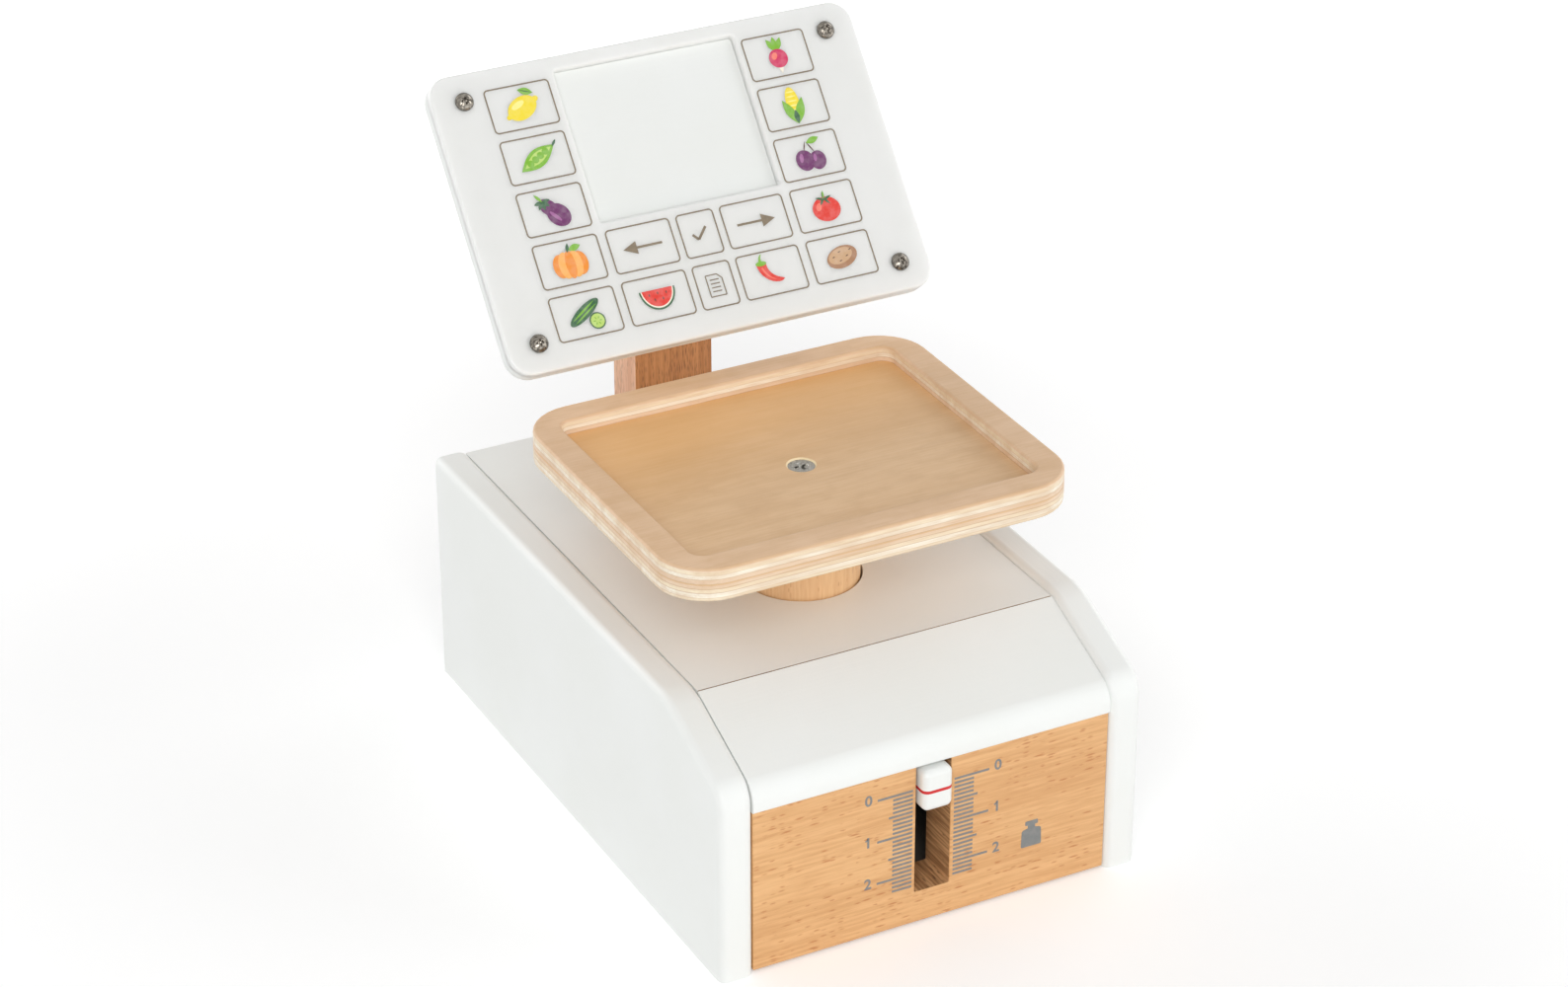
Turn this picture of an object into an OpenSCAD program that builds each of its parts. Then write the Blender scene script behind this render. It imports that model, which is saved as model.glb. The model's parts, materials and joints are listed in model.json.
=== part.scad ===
// Toy shop scale. A plywood tray on a round plunger is pressed down against a spring, and a
// pointer on the plunger's arm drops past the dial on the front board. A tilted keypad display
// stands behind the tray on a post.
// Lengths are millimetres, +Z is up, the front faces -Y and the scale stands on z = 0.

/* [Body] */
// Width over the two side panels
body_w = 156; // [140:1:180]
// Depth of the side panels, front to back
body_d = 224; // [205:1:250]
// Height of the side panels
body_h = 87.5; // [82:0.5:100]
// Thickness of each side panel
panel_t = 12; // [10:0.5:16]
// Rounding of the side panels' edges
panel_round = 3; // [1:0.5:4]
// Reach of the sloping front along the panels' top
slope_run = 39; // [30:1:45]
// Fall of the sloping front in degrees
slope_angle = 22.5; // [16:0.5:26]
// Radius where the panels' top bends into the slope
slope_bend_r = 25; // [10:1:40]
// Radius where the slope bends into the front
nose_r = 10; // [6:0.5:11]
// Thickness of the top, slope and back boards
board_t = 12; // [11:0.5:15]
// Depth of the top and slope boards below the panels' edges
board_inset = 1.5; // [0.5:0.1:2.5]
// Depth of the back board behind the panels' back edges
back_inset = 1; // [0.5:0.1:2]
// Visible seam between boards and panels
joint_gap = 0.2; // [0.1:0.05:0.4]
// Thickness of the base board
base_t = 6; // [4:0.5:8]
// Height of the base board's underside above the table
base_lift = 2; // [1:0.5:4]

/* [Front] */
// Thickness of the front board
front_t = 16; // [12:0.5:18]
// Depth of the front board's face behind the panels' front edges
front_inset = 1.1; // [0.5:0.1:2]
// Height of the front board's bottom edge above the table
front_lift = 1; // [0.5:0.25:2]
// Depth of the nose behind the panels' front edges
nose_inset = 0.3; // [0.1:0.1:0.8]
// Height of the nose, from its bottom edge to where the slope would meet its front
nose_h = 8.75; // [8:0.25:10]
// Radius of the nose's bottom edge
nose_lip_r = 1; // [0.5:0.1:1.5]
// Width of the pointer's slot
slot_w = 13; // [12:0.5:16]
// Height of wood left under the slot
slot_sill = 11.7; // [8:0.1:20]

/* [Pointer] */
// Width of the pointer
pointer_w = 11; // [9:0.25:11.4]
// Height of the pointer
pointer_h = 15.2; // [13:0.1:17]
// Length of the pointer, front to back
pointer_l = 22; // [19:0.5:26]
// How far the pointer stands out of the front board
pointer_proud = 3.65; // [2:0.05:5]
// Rounding of the pointer's edges
pointer_round = 1.8; // [1:0.1:2.5]

/* [Tray] */
// Width of the tray
tray_w = 148; // [130:1:160]
// Depth of the tray, front to back
tray_d = 125; // [110:1:140]
// Radius of the tray's corners
tray_r = 18; // [8:1:25]
// Thickness of the tray's base plate
tray_base_t = 6.5; // [5:0.5:9]
// Height of the tray's rim above the base plate
tray_frame_t = 5.5; // [4:0.5:10]
// Width of the tray's rim
tray_frame_w = 10.5; // [8:0.5:16]
// Radius of the rim's inner corners
tray_inner_r = 5; // [2:0.5:10]
// How far the tray's middle lies behind the plunger's axis
tray_offset = 3.5; // [0:0.5:8]

/* [Plunger and spring] */
// How far the plunger's axis lies in front of the middle between the slope and the post
plunger_fore = 20.9; // [12:0.1:25]
// Diameter of the plunger
plunger_d = 40; // [34:0.5:46]
// Gap all round between the plunger and its guides
plunger_gap = 0.75; // [0.4:0.05:1]
// Wood left solid at the plunger's top
plunger_head = 23; // [21:0.5:30]
// Diameter of the spring's bore in the plunger
spring_bore_d = 21; // [19.5:0.5:23]
// Mean diameter of the spring's coils
spring_d = 16; // [15:0.25:17]
// Diameter of the spring's wire
wire_d = 1.2; // [1:0.05:1.6]
// Turns of the spring
spring_turns = 8; // [6:1:10]
// Diameter of the post inside the spring
spring_post_d = 12; // [9:0.5:12.5]
// Room left above the spring's post at full travel
spring_post_gap = 15; // [8:0.5:20]
// Side of the square guide block
guide_w = 64; // [62:1:72]
// Thickness of the pointer's arm
arm_t = 9; // [7:0.5:11]
// Width of the pointer's arm
arm_w = 9; // [7:0.5:10]
// Diameter of the arm's disc under the plunger
arm_disc_d = 52; // [50:1:58]

/* [Post and display] */
// Width of the post
neck_w = 30; // [24:1:40]
// Thickness of the post, front to back
neck_t = 18; // [15:0.5:22]
// Distance of the post's back in front of the panels' back edges
neck_set = 17.5; // [14:0.5:24]
// Width of the display
display_w = 160; // [140:1:180]
// Height of the display along its slope
display_h = 106; // [95:1:120]
// Radius of the display's corners
display_r = 8; // [3:0.5:12]
// Thickness of the display's front sheet
sheet_t = 3; // [2:0.25:4]
// Thickness of the display's back board
display_board_t = 4; // [3.5:0.25:6]
// Lean of the display from upright in degrees
display_tilt = 40; // [32:1:48]
// Height of the display face's middle above the top board
display_rise = 108.7; // [100:0.5:120]
// Distance of the display face's middle in front of the panels' back edges
display_set = 46.4; // [42:0.2:50]
// Width of the display's window
window_w = 68; // [50:1:72]
// Height of the display's window
window_h = 54.5; // [40:0.5:60]
// Distance of the window below the sheet's top edge
window_drop = 5.4; // [4:0.2:12]
// Radius of the window's corners
window_r = 1.2; // [0.8:0.1:3]
// Distance of the display's screws from its left and right edges
display_screw_in_x = 11.5; // [9:0.5:16]
// Distance of the display's screws from its top and bottom edges
display_screw_in_y = 10; // [9:0.5:14]

/* [Fixings] */
// Diameter of the joining dowels
pin_d = 6; // [5:0.5:6.5]
// Length of the joining dowels
pin_len = 24; // [20:1:30]
// Depth of the joining dowels in the side panels
pin_in_panel = 8; // [6:0.5:8.5]
// Play of dowels and screws in their holes, all round
fix_gap = 0.05; // [0.02:0.01:0.1]
// Head diameter of the tray's screw
tray_screw_head_d = 9.2; // [8:0.2:11]
// Depth of the tray screw's head below the tray's floor
tray_screw_sink = 0.5; // [0.2:0.1:1]
// Shank diameter of the tray's screw
tray_screw_d = 5; // [4:0.25:6]
// Length of the tray's screw
tray_screw_len = 26; // [20:1:27]
// Head diameter of the wood screws
wood_screw_head_d = 7; // [6:0.25:8]
// Shank diameter of the wood screws
wood_screw_d = 3.5; // [3:0.1:4]
// Head diameter of the display's screws
pan_head_d = 7.2; // [6:0.2:8]
// Head height of the display's screws
pan_head_h = 2.4; // [2:0.1:2.8]
// Shank diameter of the display's screws
pan_screw_d = 3.2; // [2.5:0.1:3.5]

/* [Hidden] */
$fn = 96;
hull_fn = 32;
round_steps = 4;
wire_sides = 6;
rings_per_turn = 8;
overrun = 2;

// Running gaps at the two ends of the travel
stop_gap = 0.3;
pointer_top_gap = 1;
slot_end_gap = 0.2;
spring_seat_gap = 0.05;

// Base cleats
cleat_w = 10;
cleat_h = 10;
cleat_end_gap = 10;

// Pointer and arm joint
tongue_w = 5;
tongue_l = 10;
arm_screw_count = 3;
arm_screw_len = 22;

// Screws: the heads' cone and cross recess as shares of their diameter, the tip as a share of the shank's
head_depth_share = 0.28;
recess_reach_share = 0.56;
recess_floor_share = 0.2;
recess_width_share = 0.13;
recess_depth_share = 0.2;
tip_share = 0.8;

// Screw lengths
hole_end_gap = 0.5;
base_screw_len = 13;
guide_screw_len = 23;
guide_screw_inset = 8;
neck_screw_len = 34;
neck_screw_gap = 14;
spring_post_screw_len = 24;
pan_screw_len = 6;
pan_dome_r = 5;

// Display dowels, which stop short of the display board's front
display_pin_cover = 1;
display_pin_len = 16;
display_pin_gap = 16;
display_pin_share = 0.25;

// Places of the joining dowels along each board
top_pin_shares = [0.12, 0.5, 0.88];
slope_pin_shares = [0.25, 0.6];
upright_pin_shares = [0.25, 0.8];
base_screw_shares = [0.06, 0.5, 0.94];

// Planes of the body. The middle of the part's depth, pointer included, is y = 0
pointer_over = pointer_proud - front_inset;
front_y = (pointer_over - body_d) / 2;
back_y = front_y + body_d;
inner_w = body_w - 2 * panel_t;
board_w = inner_w - 2 * joint_gap;
top_z = body_h - board_inset;
top_under_z = top_z - board_t;
base_z = base_lift + base_t;
face_y = front_y + front_inset;
face_back_y = face_y + front_t;
rear_y = back_y - back_inset;
rear_front_y = rear_y - board_t;

// Heights of the panels' slope, of the boards' slope below it and of the slope board's underside
function slope_z(y) = body_h - tan(slope_angle) * (front_y + slope_run - y);
function board_slope_z(y) = slope_z(y) - board_inset / cos(slope_angle);
function under_slope_z(y) = board_slope_z(y) - board_t / cos(slope_angle);
nose_y = front_y + nose_inset;
nose_z = board_slope_z(nose_y) - nose_h;
seam_y = front_y + slope_run + board_inset * (1 / cos(slope_angle) - 1) / tan(slope_angle);
slope_back_y = seam_y - joint_gap;
nose_heel_y = nose_y + (nose_z - under_slope_z(nose_y)) / tan(slope_angle);

// The post's front, middle and back
neck_back_y = back_y - neck_set;
neck_front_y = neck_back_y - neck_t;
neck_y = neck_back_y - neck_t / 2;

// Travel, pointer and plunger
pointer_z = nose_z - pointer_top_gap - pointer_h;
pointer_y = face_y - pointer_proud;
slot_z = front_lift + slot_sill;
travel = pointer_z - slot_end_gap - slot_z;
arm_z = pointer_z + (pointer_h - arm_t) / 2;
arm_top_z = arm_z + arm_t;
plunger_y = (seam_y + neck_front_y) / 2 - plunger_fore;
guide_z = arm_top_z + stop_gap;
guide_h = top_under_z - guide_z;
tray_z = body_h + travel + stop_gap;
floor_z = tray_z + tray_base_t;
bore_top_z = tray_z - plunger_head;
spring_post_h = bore_top_z - travel - spring_post_gap - base_z;
spring_z = base_z + spring_seat_gap;
spring_h = bore_top_z - spring_seat_gap - spring_z;
arm_screw_r = (plunger_d + spring_bore_d) / 4;
guide_screw_r = guide_w / 2 - guide_screw_inset;

// Display: its face, and the line where its back meets the post
display_y = back_y - display_set;
display_z = top_z + display_rise;
display_t = sheet_t + display_board_t;
display_back_y = display_y + display_t * cos(display_tilt);
display_back_z = display_z - display_t * sin(display_tilt);
function display_back(y) = display_back_z + (y - display_back_y) / tan(display_tilt);
display_pin_y = neck_front_y + display_pin_share * neck_t;
display_pin_v = (display_pin_y - display_back_y) / sin(display_tilt);
window_v = display_h / 2 - window_drop - window_h / 2;
display_screw_x = display_w / 2 - display_screw_in_x;
display_screw_v = display_h / 2 - display_screw_in_y;

// Places, in y and z, of the dowels that join each board to the panels
top_pins = [for (s = top_pin_shares) [seam_y + s * (rear_y - seam_y), top_z - board_t / 2]];
slope_pins = [
    for (s = slope_pin_shares)
        let (y = slope_back_y - s * (slope_back_y - nose_y))
        [y, (board_slope_z(y) + under_slope_z(y)) / 2]
];
front_pins = [for (s = upright_pin_shares) [face_y + front_t / 2, front_lift + s * (nose_z - front_lift)]];
back_pins = [for (s = upright_pin_shares) [rear_y - board_t / 2, base_lift + s * (top_under_z - base_lift)]];
all_pins = concat(top_pins, slope_pins, front_pins, back_pins);

// Places of the screws
guide_screw_places = [for (x = [-1, 1], y = [-1, 1]) [x * guide_screw_r, plunger_y + y * guide_screw_r]];
cleat_y0 = face_back_y + cleat_end_gap;
cleat_y1 = rear_front_y - cleat_end_gap;
cleat_x = (inner_w - cleat_w) / 2;
base_screw_places = [
    for (x = [-1, 1], s = base_screw_shares)
        [x * cleat_x, cleat_y0 + s * (cleat_y1 - cleat_y0)]
];

// Extrudes a side view, drawn as y and z, across the body
module across(width) {
    rotate([90, 0, 90]) linear_extrude(width, center = true) children();
}

// Board from one corner to another
module block(low, high) {
    translate(low) cube(high - low);
}

// What a rounding of radius r takes off the corner p, whose edges run along a and b
module corner_waste(p, a, b, r) {
    half = acos(a * b) / 2;
    run = r / tan(half);
    middle = p + (a + b) / norm(a + b) * r / sin(half);
    difference() {
        polygon([p - (a + b) * overrun, p + run * a, middle, p + run * b]);
        translate(middle) circle(r);
    }
}

// Rectangle with true round corners
module rounded_rect(w, h, r) {
    square([w - 2 * r, h], center = true);
    square([w, h - 2 * r], center = true);
    for (x = [-1, 1], y = [-1, 1])
        translate([x * (w / 2 - r), y * (h / 2 - r)]) circle(r);
}

// Cross recess in a screw's head, from the origin down
module cross_recess(head_d) {
    depth = head_d * recess_depth_share;
    intersection() {
        translate([0, 0, -depth])
            cylinder(d1 = head_d * recess_floor_share, d2 = head_d * recess_reach_share, h = depth);
        for (turn = [0, 90])
            rotate([0, 0, turn]) cube([head_d, head_d * recess_width_share, head_d], center = true);
    }
}

// Countersunk screw: the top of its head at the origin, its shank down -Z
module flat_screw(head_d, shank_d, length) {
    head_h = head_d * head_depth_share;
    tip_h = shank_d * tip_share;
    difference() {
        rotate_extrude() polygon([
            [0, 0], [head_d / 2, 0], [shank_d / 2, -head_h], [shank_d / 2, tip_h - length], [0, -length]
        ]);
        cross_recess(head_d);
    }
}

// Countersunk hole for such a screw, open above its head
module flat_screw_hole(head_d, shank_d, length) {
    head_h = head_d * head_depth_share;
    head_r = head_d / 2 + fix_gap;
    shank_r = shank_d / 2 + fix_gap;
    rotate_extrude() polygon([
        [0, overrun], [head_r, overrun], [head_r, 0], [shank_r, -head_h],
        [shank_r, -length - hole_end_gap], [0, -length - hole_end_gap]
    ]);
}

module wood_screw(length) {
    flat_screw(wood_screw_head_d, wood_screw_d, length);
}

module wood_screw_hole(length) {
    flat_screw_hole(wood_screw_head_d, wood_screw_d, length);
}

// Dowels, or their holes where the play is above zero, between the boards and one panel
module panel_pins(side, places, play = 0, end_play = 0) {
    for (p = places)
        translate([side * (inner_w / 2 + pin_in_panel - pin_len / 2), p[0], p[1]])
            rotate([0, 90, 0])
            cylinder(d = pin_d + 2 * play, h = pin_len + 2 * end_play, center = true);
}

module board_pin_holes(places) {
    for (side = [-1, 1]) panel_pins(side, places, fix_gap, hole_end_gap);
}

// Side view of a panel, drawn on below the table so that its bottom edge can be cut off square
module panel_outline() {
    down_slope = [-cos(slope_angle), -sin(slope_angle)];
    bend = [front_y + slope_run, body_h];
    nose = [front_y, slope_z(front_y)];
    top_corner = [back_y, body_h];
    difference() {
        polygon([
            [back_y, -panel_round - overrun], top_corner, bend, nose, [front_y, -panel_round - overrun]
        ]);
        corner_waste(top_corner, [-1, 0], [0, -1], panel_round);
        corner_waste(bend, [1, 0], down_slope, slope_bend_r);
        corner_waste(nose, -down_slope, [0, -1], nose_r);
    }
}

// Side panel with every edge but the bottom ones rounded over
module side_panel(side) {
    middle_x = side * (body_w - panel_t) / 2;
    difference() {
        translate([middle_x, 0, 0]) hull() {
            for (i = [0:round_steps]) {
                turn = 90 * i / round_steps;
                across(panel_t - 2 * panel_round * (1 - sin(turn)))
                    offset(delta = -panel_round * (1 - cos(turn)))
                    panel_outline($fn = hull_fn);
            }
        }
        translate([middle_x, (front_y + back_y) / 2, -body_h / 2])
            cube([panel_t + overrun, body_d + overrun, body_h], center = true);
        panel_pins(side, all_pins, fix_gap, hole_end_gap);
    }
}

module left_side_panel() {
    color("white") side_panel(-1);
}

module right_side_panel() {
    color("white") side_panel(1);
}

module top_board() {
    color("seashell") difference() {
        block([-board_w / 2, seam_y, top_under_z], [board_w / 2, rear_y, top_z]);
        translate([0, plunger_y, top_under_z - overrun])
            cylinder(d = plunger_d + 2 * plunger_gap, h = board_t + 2 * overrun);
        board_pin_holes(top_pins);
        neck_screws_at() wood_screw_hole(neck_screw_len);
        guide_screws_at() wood_screw_hole(guide_screw_len);
    }
}

module slope_board() {
    down_slope = [-cos(slope_angle), -sin(slope_angle)];
    nose = [nose_y, board_slope_z(nose_y)];
    lip = [nose_y, nose_z];
    color("white") difference() {
        across(board_w) difference() {
            polygon([
                [slope_back_y, board_slope_z(slope_back_y)], nose, lip,
                [nose_heel_y, nose_z], [slope_back_y, under_slope_z(slope_back_y)]
            ]);
            corner_waste(nose, -down_slope, [0, -1], nose_r - board_inset);
            corner_waste(lip, [0, 1], [1, 0], nose_lip_r);
        }
        board_pin_holes(slope_pins);
    }
}

// Beech front with the pointer's slot, open at the top under the nose
module front_board() {
    color("burlywood") difference() {
        block([-board_w / 2, face_y, front_lift], [board_w / 2, face_back_y, nose_z]);
        block([-slot_w / 2, face_y - overrun, slot_z], [slot_w / 2, face_back_y + overrun, nose_z + overrun]);
        board_pin_holes(front_pins);
    }
}

module back_board() {
    color("white") difference() {
        block([-board_w / 2, rear_front_y, base_lift], [board_w / 2, rear_y, top_under_z]);
        board_pin_holes(back_pins);
    }
}

module base_board() {
    color("wheat") difference() {
        block(
            [-board_w / 2, face_back_y + joint_gap, base_lift],
            [board_w / 2, rear_front_y - joint_gap, base_z]
        );
        base_screws_at() wood_screw_hole(base_screw_len);
        spring_post_screw_at() wood_screw_hole(spring_post_screw_len);
    }
}

// Strip along a panel that the base board is screwed to
module base_cleat(side) {
    color("tan") difference() {
        block(
            [side * cleat_x - cleat_w / 2, cleat_y0, base_z],
            [side * cleat_x + cleat_w / 2, cleat_y1, base_z + cleat_h]
        );
        base_screws_at() wood_screw_hole(base_screw_len);
    }
}

module left_base_cleat() {
    base_cleat(-1);
}

module right_base_cleat() {
    base_cleat(1);
}

// Places of the screws that are driven upwards
module base_screws_at() {
    for (p = base_screw_places)
        translate([p[0], p[1], base_lift]) rotate([180, 0, 0]) children();
}

module guide_screws_at() {
    for (p = guide_screw_places)
        translate([p[0], p[1], guide_z]) rotate([180, 0, 0]) children();
}

module spring_post_screw_at() {
    translate([0, plunger_y, base_lift]) rotate([180, 0, 0]) children();
}

module neck_screws_at() {
    for (x = [-1, 1])
        translate([x * neck_screw_gap / 2, neck_y, top_under_z]) rotate([180, 0, 0]) children();
}

module arm_screws_at() {
    for (i = [0:arm_screw_count - 1])
        translate([0, plunger_y, arm_z])
            rotate([0, 0, 90 + i * 360 / arm_screw_count])
            translate([arm_screw_r, 0, 0]) rotate([180, 0, 0]) children();
}

module base_screws() {
    color("silver") base_screws_at() wood_screw(base_screw_len);
}

module guide_screws() {
    color("silver") guide_screws_at() wood_screw(guide_screw_len);
}

module spring_post_screw() {
    color("silver") spring_post_screw_at() wood_screw(spring_post_screw_len);
}

module neck_screws() {
    color("silver") neck_screws_at() wood_screw(neck_screw_len);
}

module arm_screws() {
    color("silver") arm_screws_at() wood_screw(arm_screw_len);
}

// Second guide of the plunger; its underside is the plunger's upper stop
module guide_block() {
    color("tan") difference() {
        block(
            [-guide_w / 2, plunger_y - guide_w / 2, guide_z],
            [guide_w / 2, plunger_y + guide_w / 2, top_under_z]
        );
        translate([0, plunger_y, guide_z - overrun])
            cylinder(d = plunger_d + 2 * plunger_gap, h = guide_h + 2 * overrun);
        guide_screws_at() wood_screw_hole(guide_screw_len);
    }
}

module spring_post() {
    color("burlywood") difference() {
        translate([0, plunger_y, base_z]) cylinder(d = spring_post_d, h = spring_post_h);
        spring_post_screw_at() wood_screw_hole(spring_post_screw_len);
    }
}

// Centre line of the spring's wire: a straight end, the turns and a straight end
spring_rings = spring_turns * rings_per_turn;
coil_h = spring_h - 2 * wire_d;
spring_line = concat(
    [[spring_d / 2, 0, 0]],
    [
        for (i = [0:spring_rings])
            let (turn = 360 * i / rings_per_turn)
            [spring_d / 2 * cos(turn), spring_d / 2 * sin(turn), wire_d + coil_h * i / spring_rings]
    ],
    [[spring_d / 2, 0, spring_h]]
);
spring_last = len(spring_line) - 1;

// Direction of the wire at each point, and a ring of points round it
function unit(v) = v / norm(v);
function line_dir(i) =
    i == 0 || i == spring_last
        ? [0, 0, 1]
        : unit(unit(spring_line[i + 1] - spring_line[i]) + unit(spring_line[i] - spring_line[i - 1]));
function outward(i) = let (p = spring_line[i], d = line_dir(i), r = unit([p[0], p[1], 0])) unit(r - (r * d) * d);
function wire_ring(i) =
    let (a = outward(i), b = cross(line_dir(i), a))
    [
        for (k = [0:wire_sides - 1])
            let (turn = 360 * k / wire_sides)
            spring_line[i] + wire_d / 2 * (cos(turn) * a + sin(turn) * b)
    ];

// Least gap between one turn of the wire and the next, measured on the centre line's points
spring_gap = min([
    for (i = [0:spring_last - rings_per_turn + 1], k = [rings_per_turn - 1:rings_per_turn + 1])
        if (i + k <= spring_last) norm(spring_line[i + k] - spring_line[i]) - wire_d
]);
echo(spring_least_gap = spring_gap);

module compression_spring() {
    points = [for (i = [0:spring_last]) each wire_ring(i)];
    sides = [
        for (i = [0:spring_last - 1], k = [0:wire_sides - 1])
            let (
                a = i * wire_sides + k,
                b = i * wire_sides + (k + 1) % wire_sides
            )
            each [[a, b, b + wire_sides], [a, b + wire_sides, a + wire_sides]]
    ];
    ends = [
        for (k = [1:wire_sides - 2])
            each [
                [0, k + 1, k],
                [spring_last * wire_sides, spring_last * wire_sides + k, spring_last * wire_sides + k + 1]
            ]
    ];
    color("silver") translate([0, plunger_y, spring_z])
        polyhedron(points, [for (f = concat(sides, ends)) [f[2], f[1], f[0]]]);
}

// Beech post whose slanted top carries the display
module neck_post() {
    color("burlywood") difference() {
        across(neck_w) polygon([
            [neck_front_y, top_z], [neck_back_y, top_z],
            [neck_back_y, display_back(neck_back_y)], [neck_front_y, display_back(neck_front_y)]
        ]);
        neck_screws_at() wood_screw_hole(neck_screw_len);
        display_pins_at() cylinder(d = pin_d + 2 * fix_gap, h = display_pin_len + hole_end_gap);
    }
}

// The display's own frame: x across, y up its slope, z out of its face
module at_display() {
    translate([0, display_y, display_z]) rotate([90 - display_tilt, 0, 0]) children();
}

// Dowels run from inside the display board back into the post
module display_pins_at() {
    for (x = [-1, 1])
        at_display()
            translate([x * display_pin_gap / 2, display_pin_v, -sheet_t - display_pin_cover])
            rotate([180, 0, 0]) children();
}

module display_screws_at() {
    for (x = [-1, 1], v = [-1, 1])
        at_display() translate([x * display_screw_x, v * display_screw_v, 0]) children();
}

module display_screw_holes() {
    display_screws_at()
        translate([0, 0, -pan_screw_len - hole_end_gap])
        cylinder(d = pan_screw_d + 2 * fix_gap, h = pan_screw_len + hole_end_gap + overrun);
}

module display_board() {
    color("white") difference() {
        at_display() translate([0, 0, -display_t])
            linear_extrude(display_board_t) rounded_rect(display_w, display_h, display_r);
        display_screw_holes();
        display_pins_at() translate([0, 0, -fix_gap]) cylinder(d = pin_d + 2 * fix_gap, h = display_pin_len);
    }
}

module display_sheet() {
    color("whitesmoke") difference() {
        at_display() translate([0, 0, -sheet_t]) linear_extrude(sheet_t) difference() {
            rounded_rect(display_w, display_h, display_r);
            translate([0, window_v]) rounded_rect(window_w, window_h, window_r);
        }
        display_screw_holes();
    }
}

// Pan-head screws on the sheet
module display_screws() {
    color("dimgray") display_screws_at() difference() {
        rotate_extrude() {
            intersection() {
                translate([0, pan_head_h - pan_dome_r]) circle(pan_dome_r);
                square([pan_head_d / 2, pan_head_h]);
            }
            translate([0, -pan_screw_len]) square([pan_screw_d / 2, pan_screw_len]);
        }
        translate([0, 0, pan_head_h]) cross_recess(pan_head_d);
    }
}

module display_dowels() {
    color("white") display_pins_at() cylinder(d = pin_d, h = display_pin_len);
}

module left_panel_dowels() {
    color("burlywood") panel_pins(-1, all_pins);
}

module right_panel_dowels() {
    color("burlywood") panel_pins(1, all_pins);
}

module tray_outline() {
    translate([0, plunger_y + tray_offset]) rounded_rect(tray_w, tray_d, tray_r);
}

module tray_screw_at() {
    translate([0, plunger_y, floor_z - tray_screw_sink]) children();
}

// Screw's hole in the tray, whose countersink goes on widening above the sunk head
module tray_screw_hole() {
    head_r = tray_screw_head_d / 2 + fix_gap;
    sink_h = tray_screw_sink + overrun;
    tray_screw_at() {
        flat_screw_hole(tray_screw_head_d, tray_screw_d, tray_screw_len);
        cylinder(r1 = head_r, r2 = head_r + sink_h, h = sink_h);
    }
}

module tray_base() {
    color("navajowhite") difference() {
        translate([0, 0, tray_z]) linear_extrude(tray_base_t) tray_outline();
        tray_screw_hole();
    }
}

module tray_frame() {
    color("navajowhite") translate([0, 0, floor_z]) linear_extrude(tray_frame_t) difference() {
        tray_outline();
        translate([0, plunger_y + tray_offset])
            rounded_rect(tray_w - 2 * tray_frame_w, tray_d - 2 * tray_frame_w, tray_inner_r);
    }
}

module tray_screw() {
    color("silver") tray_screw_at() flat_screw(tray_screw_head_d, tray_screw_d, tray_screw_len);
}

// Beech dowel with the spring's bore in its lower end
module plunger() {
    color("burlywood") difference() {
        translate([0, plunger_y, arm_top_z]) cylinder(d = plunger_d, h = tray_z - arm_top_z);
        translate([0, plunger_y, arm_top_z - overrun])
            cylinder(d = spring_bore_d, h = bore_top_z - arm_top_z + overrun);
        tray_screw_at() flat_screw_hole(tray_screw_head_d, tray_screw_d, tray_screw_len);
        arm_screws_at() wood_screw_hole(arm_screw_len);
    }
}

// Disc under the plunger, with an arm whose tongue enters the pointer
module pointer_arm() {
    arm_end_y = pointer_y + pointer_l;
    color("tan") difference() {
        translate([0, 0, arm_z]) linear_extrude(arm_t) difference() {
            union() {
                translate([0, plunger_y]) circle(d = arm_disc_d);
                translate([-arm_w / 2, arm_end_y]) square([arm_w, plunger_y - arm_end_y]);
                translate([-tongue_w / 2, arm_end_y - tongue_l]) square([tongue_w, plunger_y - arm_end_y]);
            }
            translate([0, plunger_y]) circle(d = spring_bore_d);
        }
        arm_screws_at() wood_screw_hole(arm_screw_len);
    }
}

// Rounded block that runs in the front board's slot
module pointer() {
    color("white") difference() {
        translate([0, pointer_y + pointer_l / 2, pointer_z + pointer_h / 2]) intersection() {
            linear_extrude(pointer_h, center = true) rounded_rect(pointer_w, pointer_l, pointer_round);
            rotate([90, 0, 0]) linear_extrude(pointer_l, center = true)
                rounded_rect(pointer_w, pointer_h, pointer_round);
            across(pointer_w) rounded_rect(pointer_l, pointer_h, pointer_round);
        }
        block(
            [-tongue_w / 2 - fix_gap, pointer_y + pointer_l - tongue_l - fix_gap, arm_z - fix_gap],
            [tongue_w / 2 + fix_gap, pointer_y + pointer_l + overrun, arm_top_z + fix_gap]
        );
    }
}

left_side_panel();
right_side_panel();
top_board();
slope_board();
front_board();
back_board();
base_board();
left_base_cleat();
right_base_cleat();
base_screws();
guide_block();
guide_screws();
spring_post();
spring_post_screw();
compression_spring();
neck_post();
neck_screws();
display_board();
display_sheet();
display_screws();
display_dowels();
left_panel_dowels();
right_panel_dowels();
tray_base();
tray_frame();
tray_screw();
plunger();
pointer_arm();
arm_screws();
pointer();
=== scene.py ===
# %% [markdown]
# # A toy shop scale
# The scale stands on a counter: a painted wooden body, a plywood tray on a round plunger, a pointer
# that drops past a printed dial, and a tilted keypad display on a beech post. The solids come from
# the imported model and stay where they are. This lesson gives each of them its softened edges, its
# finish and its print. Everything is in metres, +Z is up and the front faces -Y.

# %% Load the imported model
import json
import math

import bmesh
import bpy
from mathutils import Matrix, Vector


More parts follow.
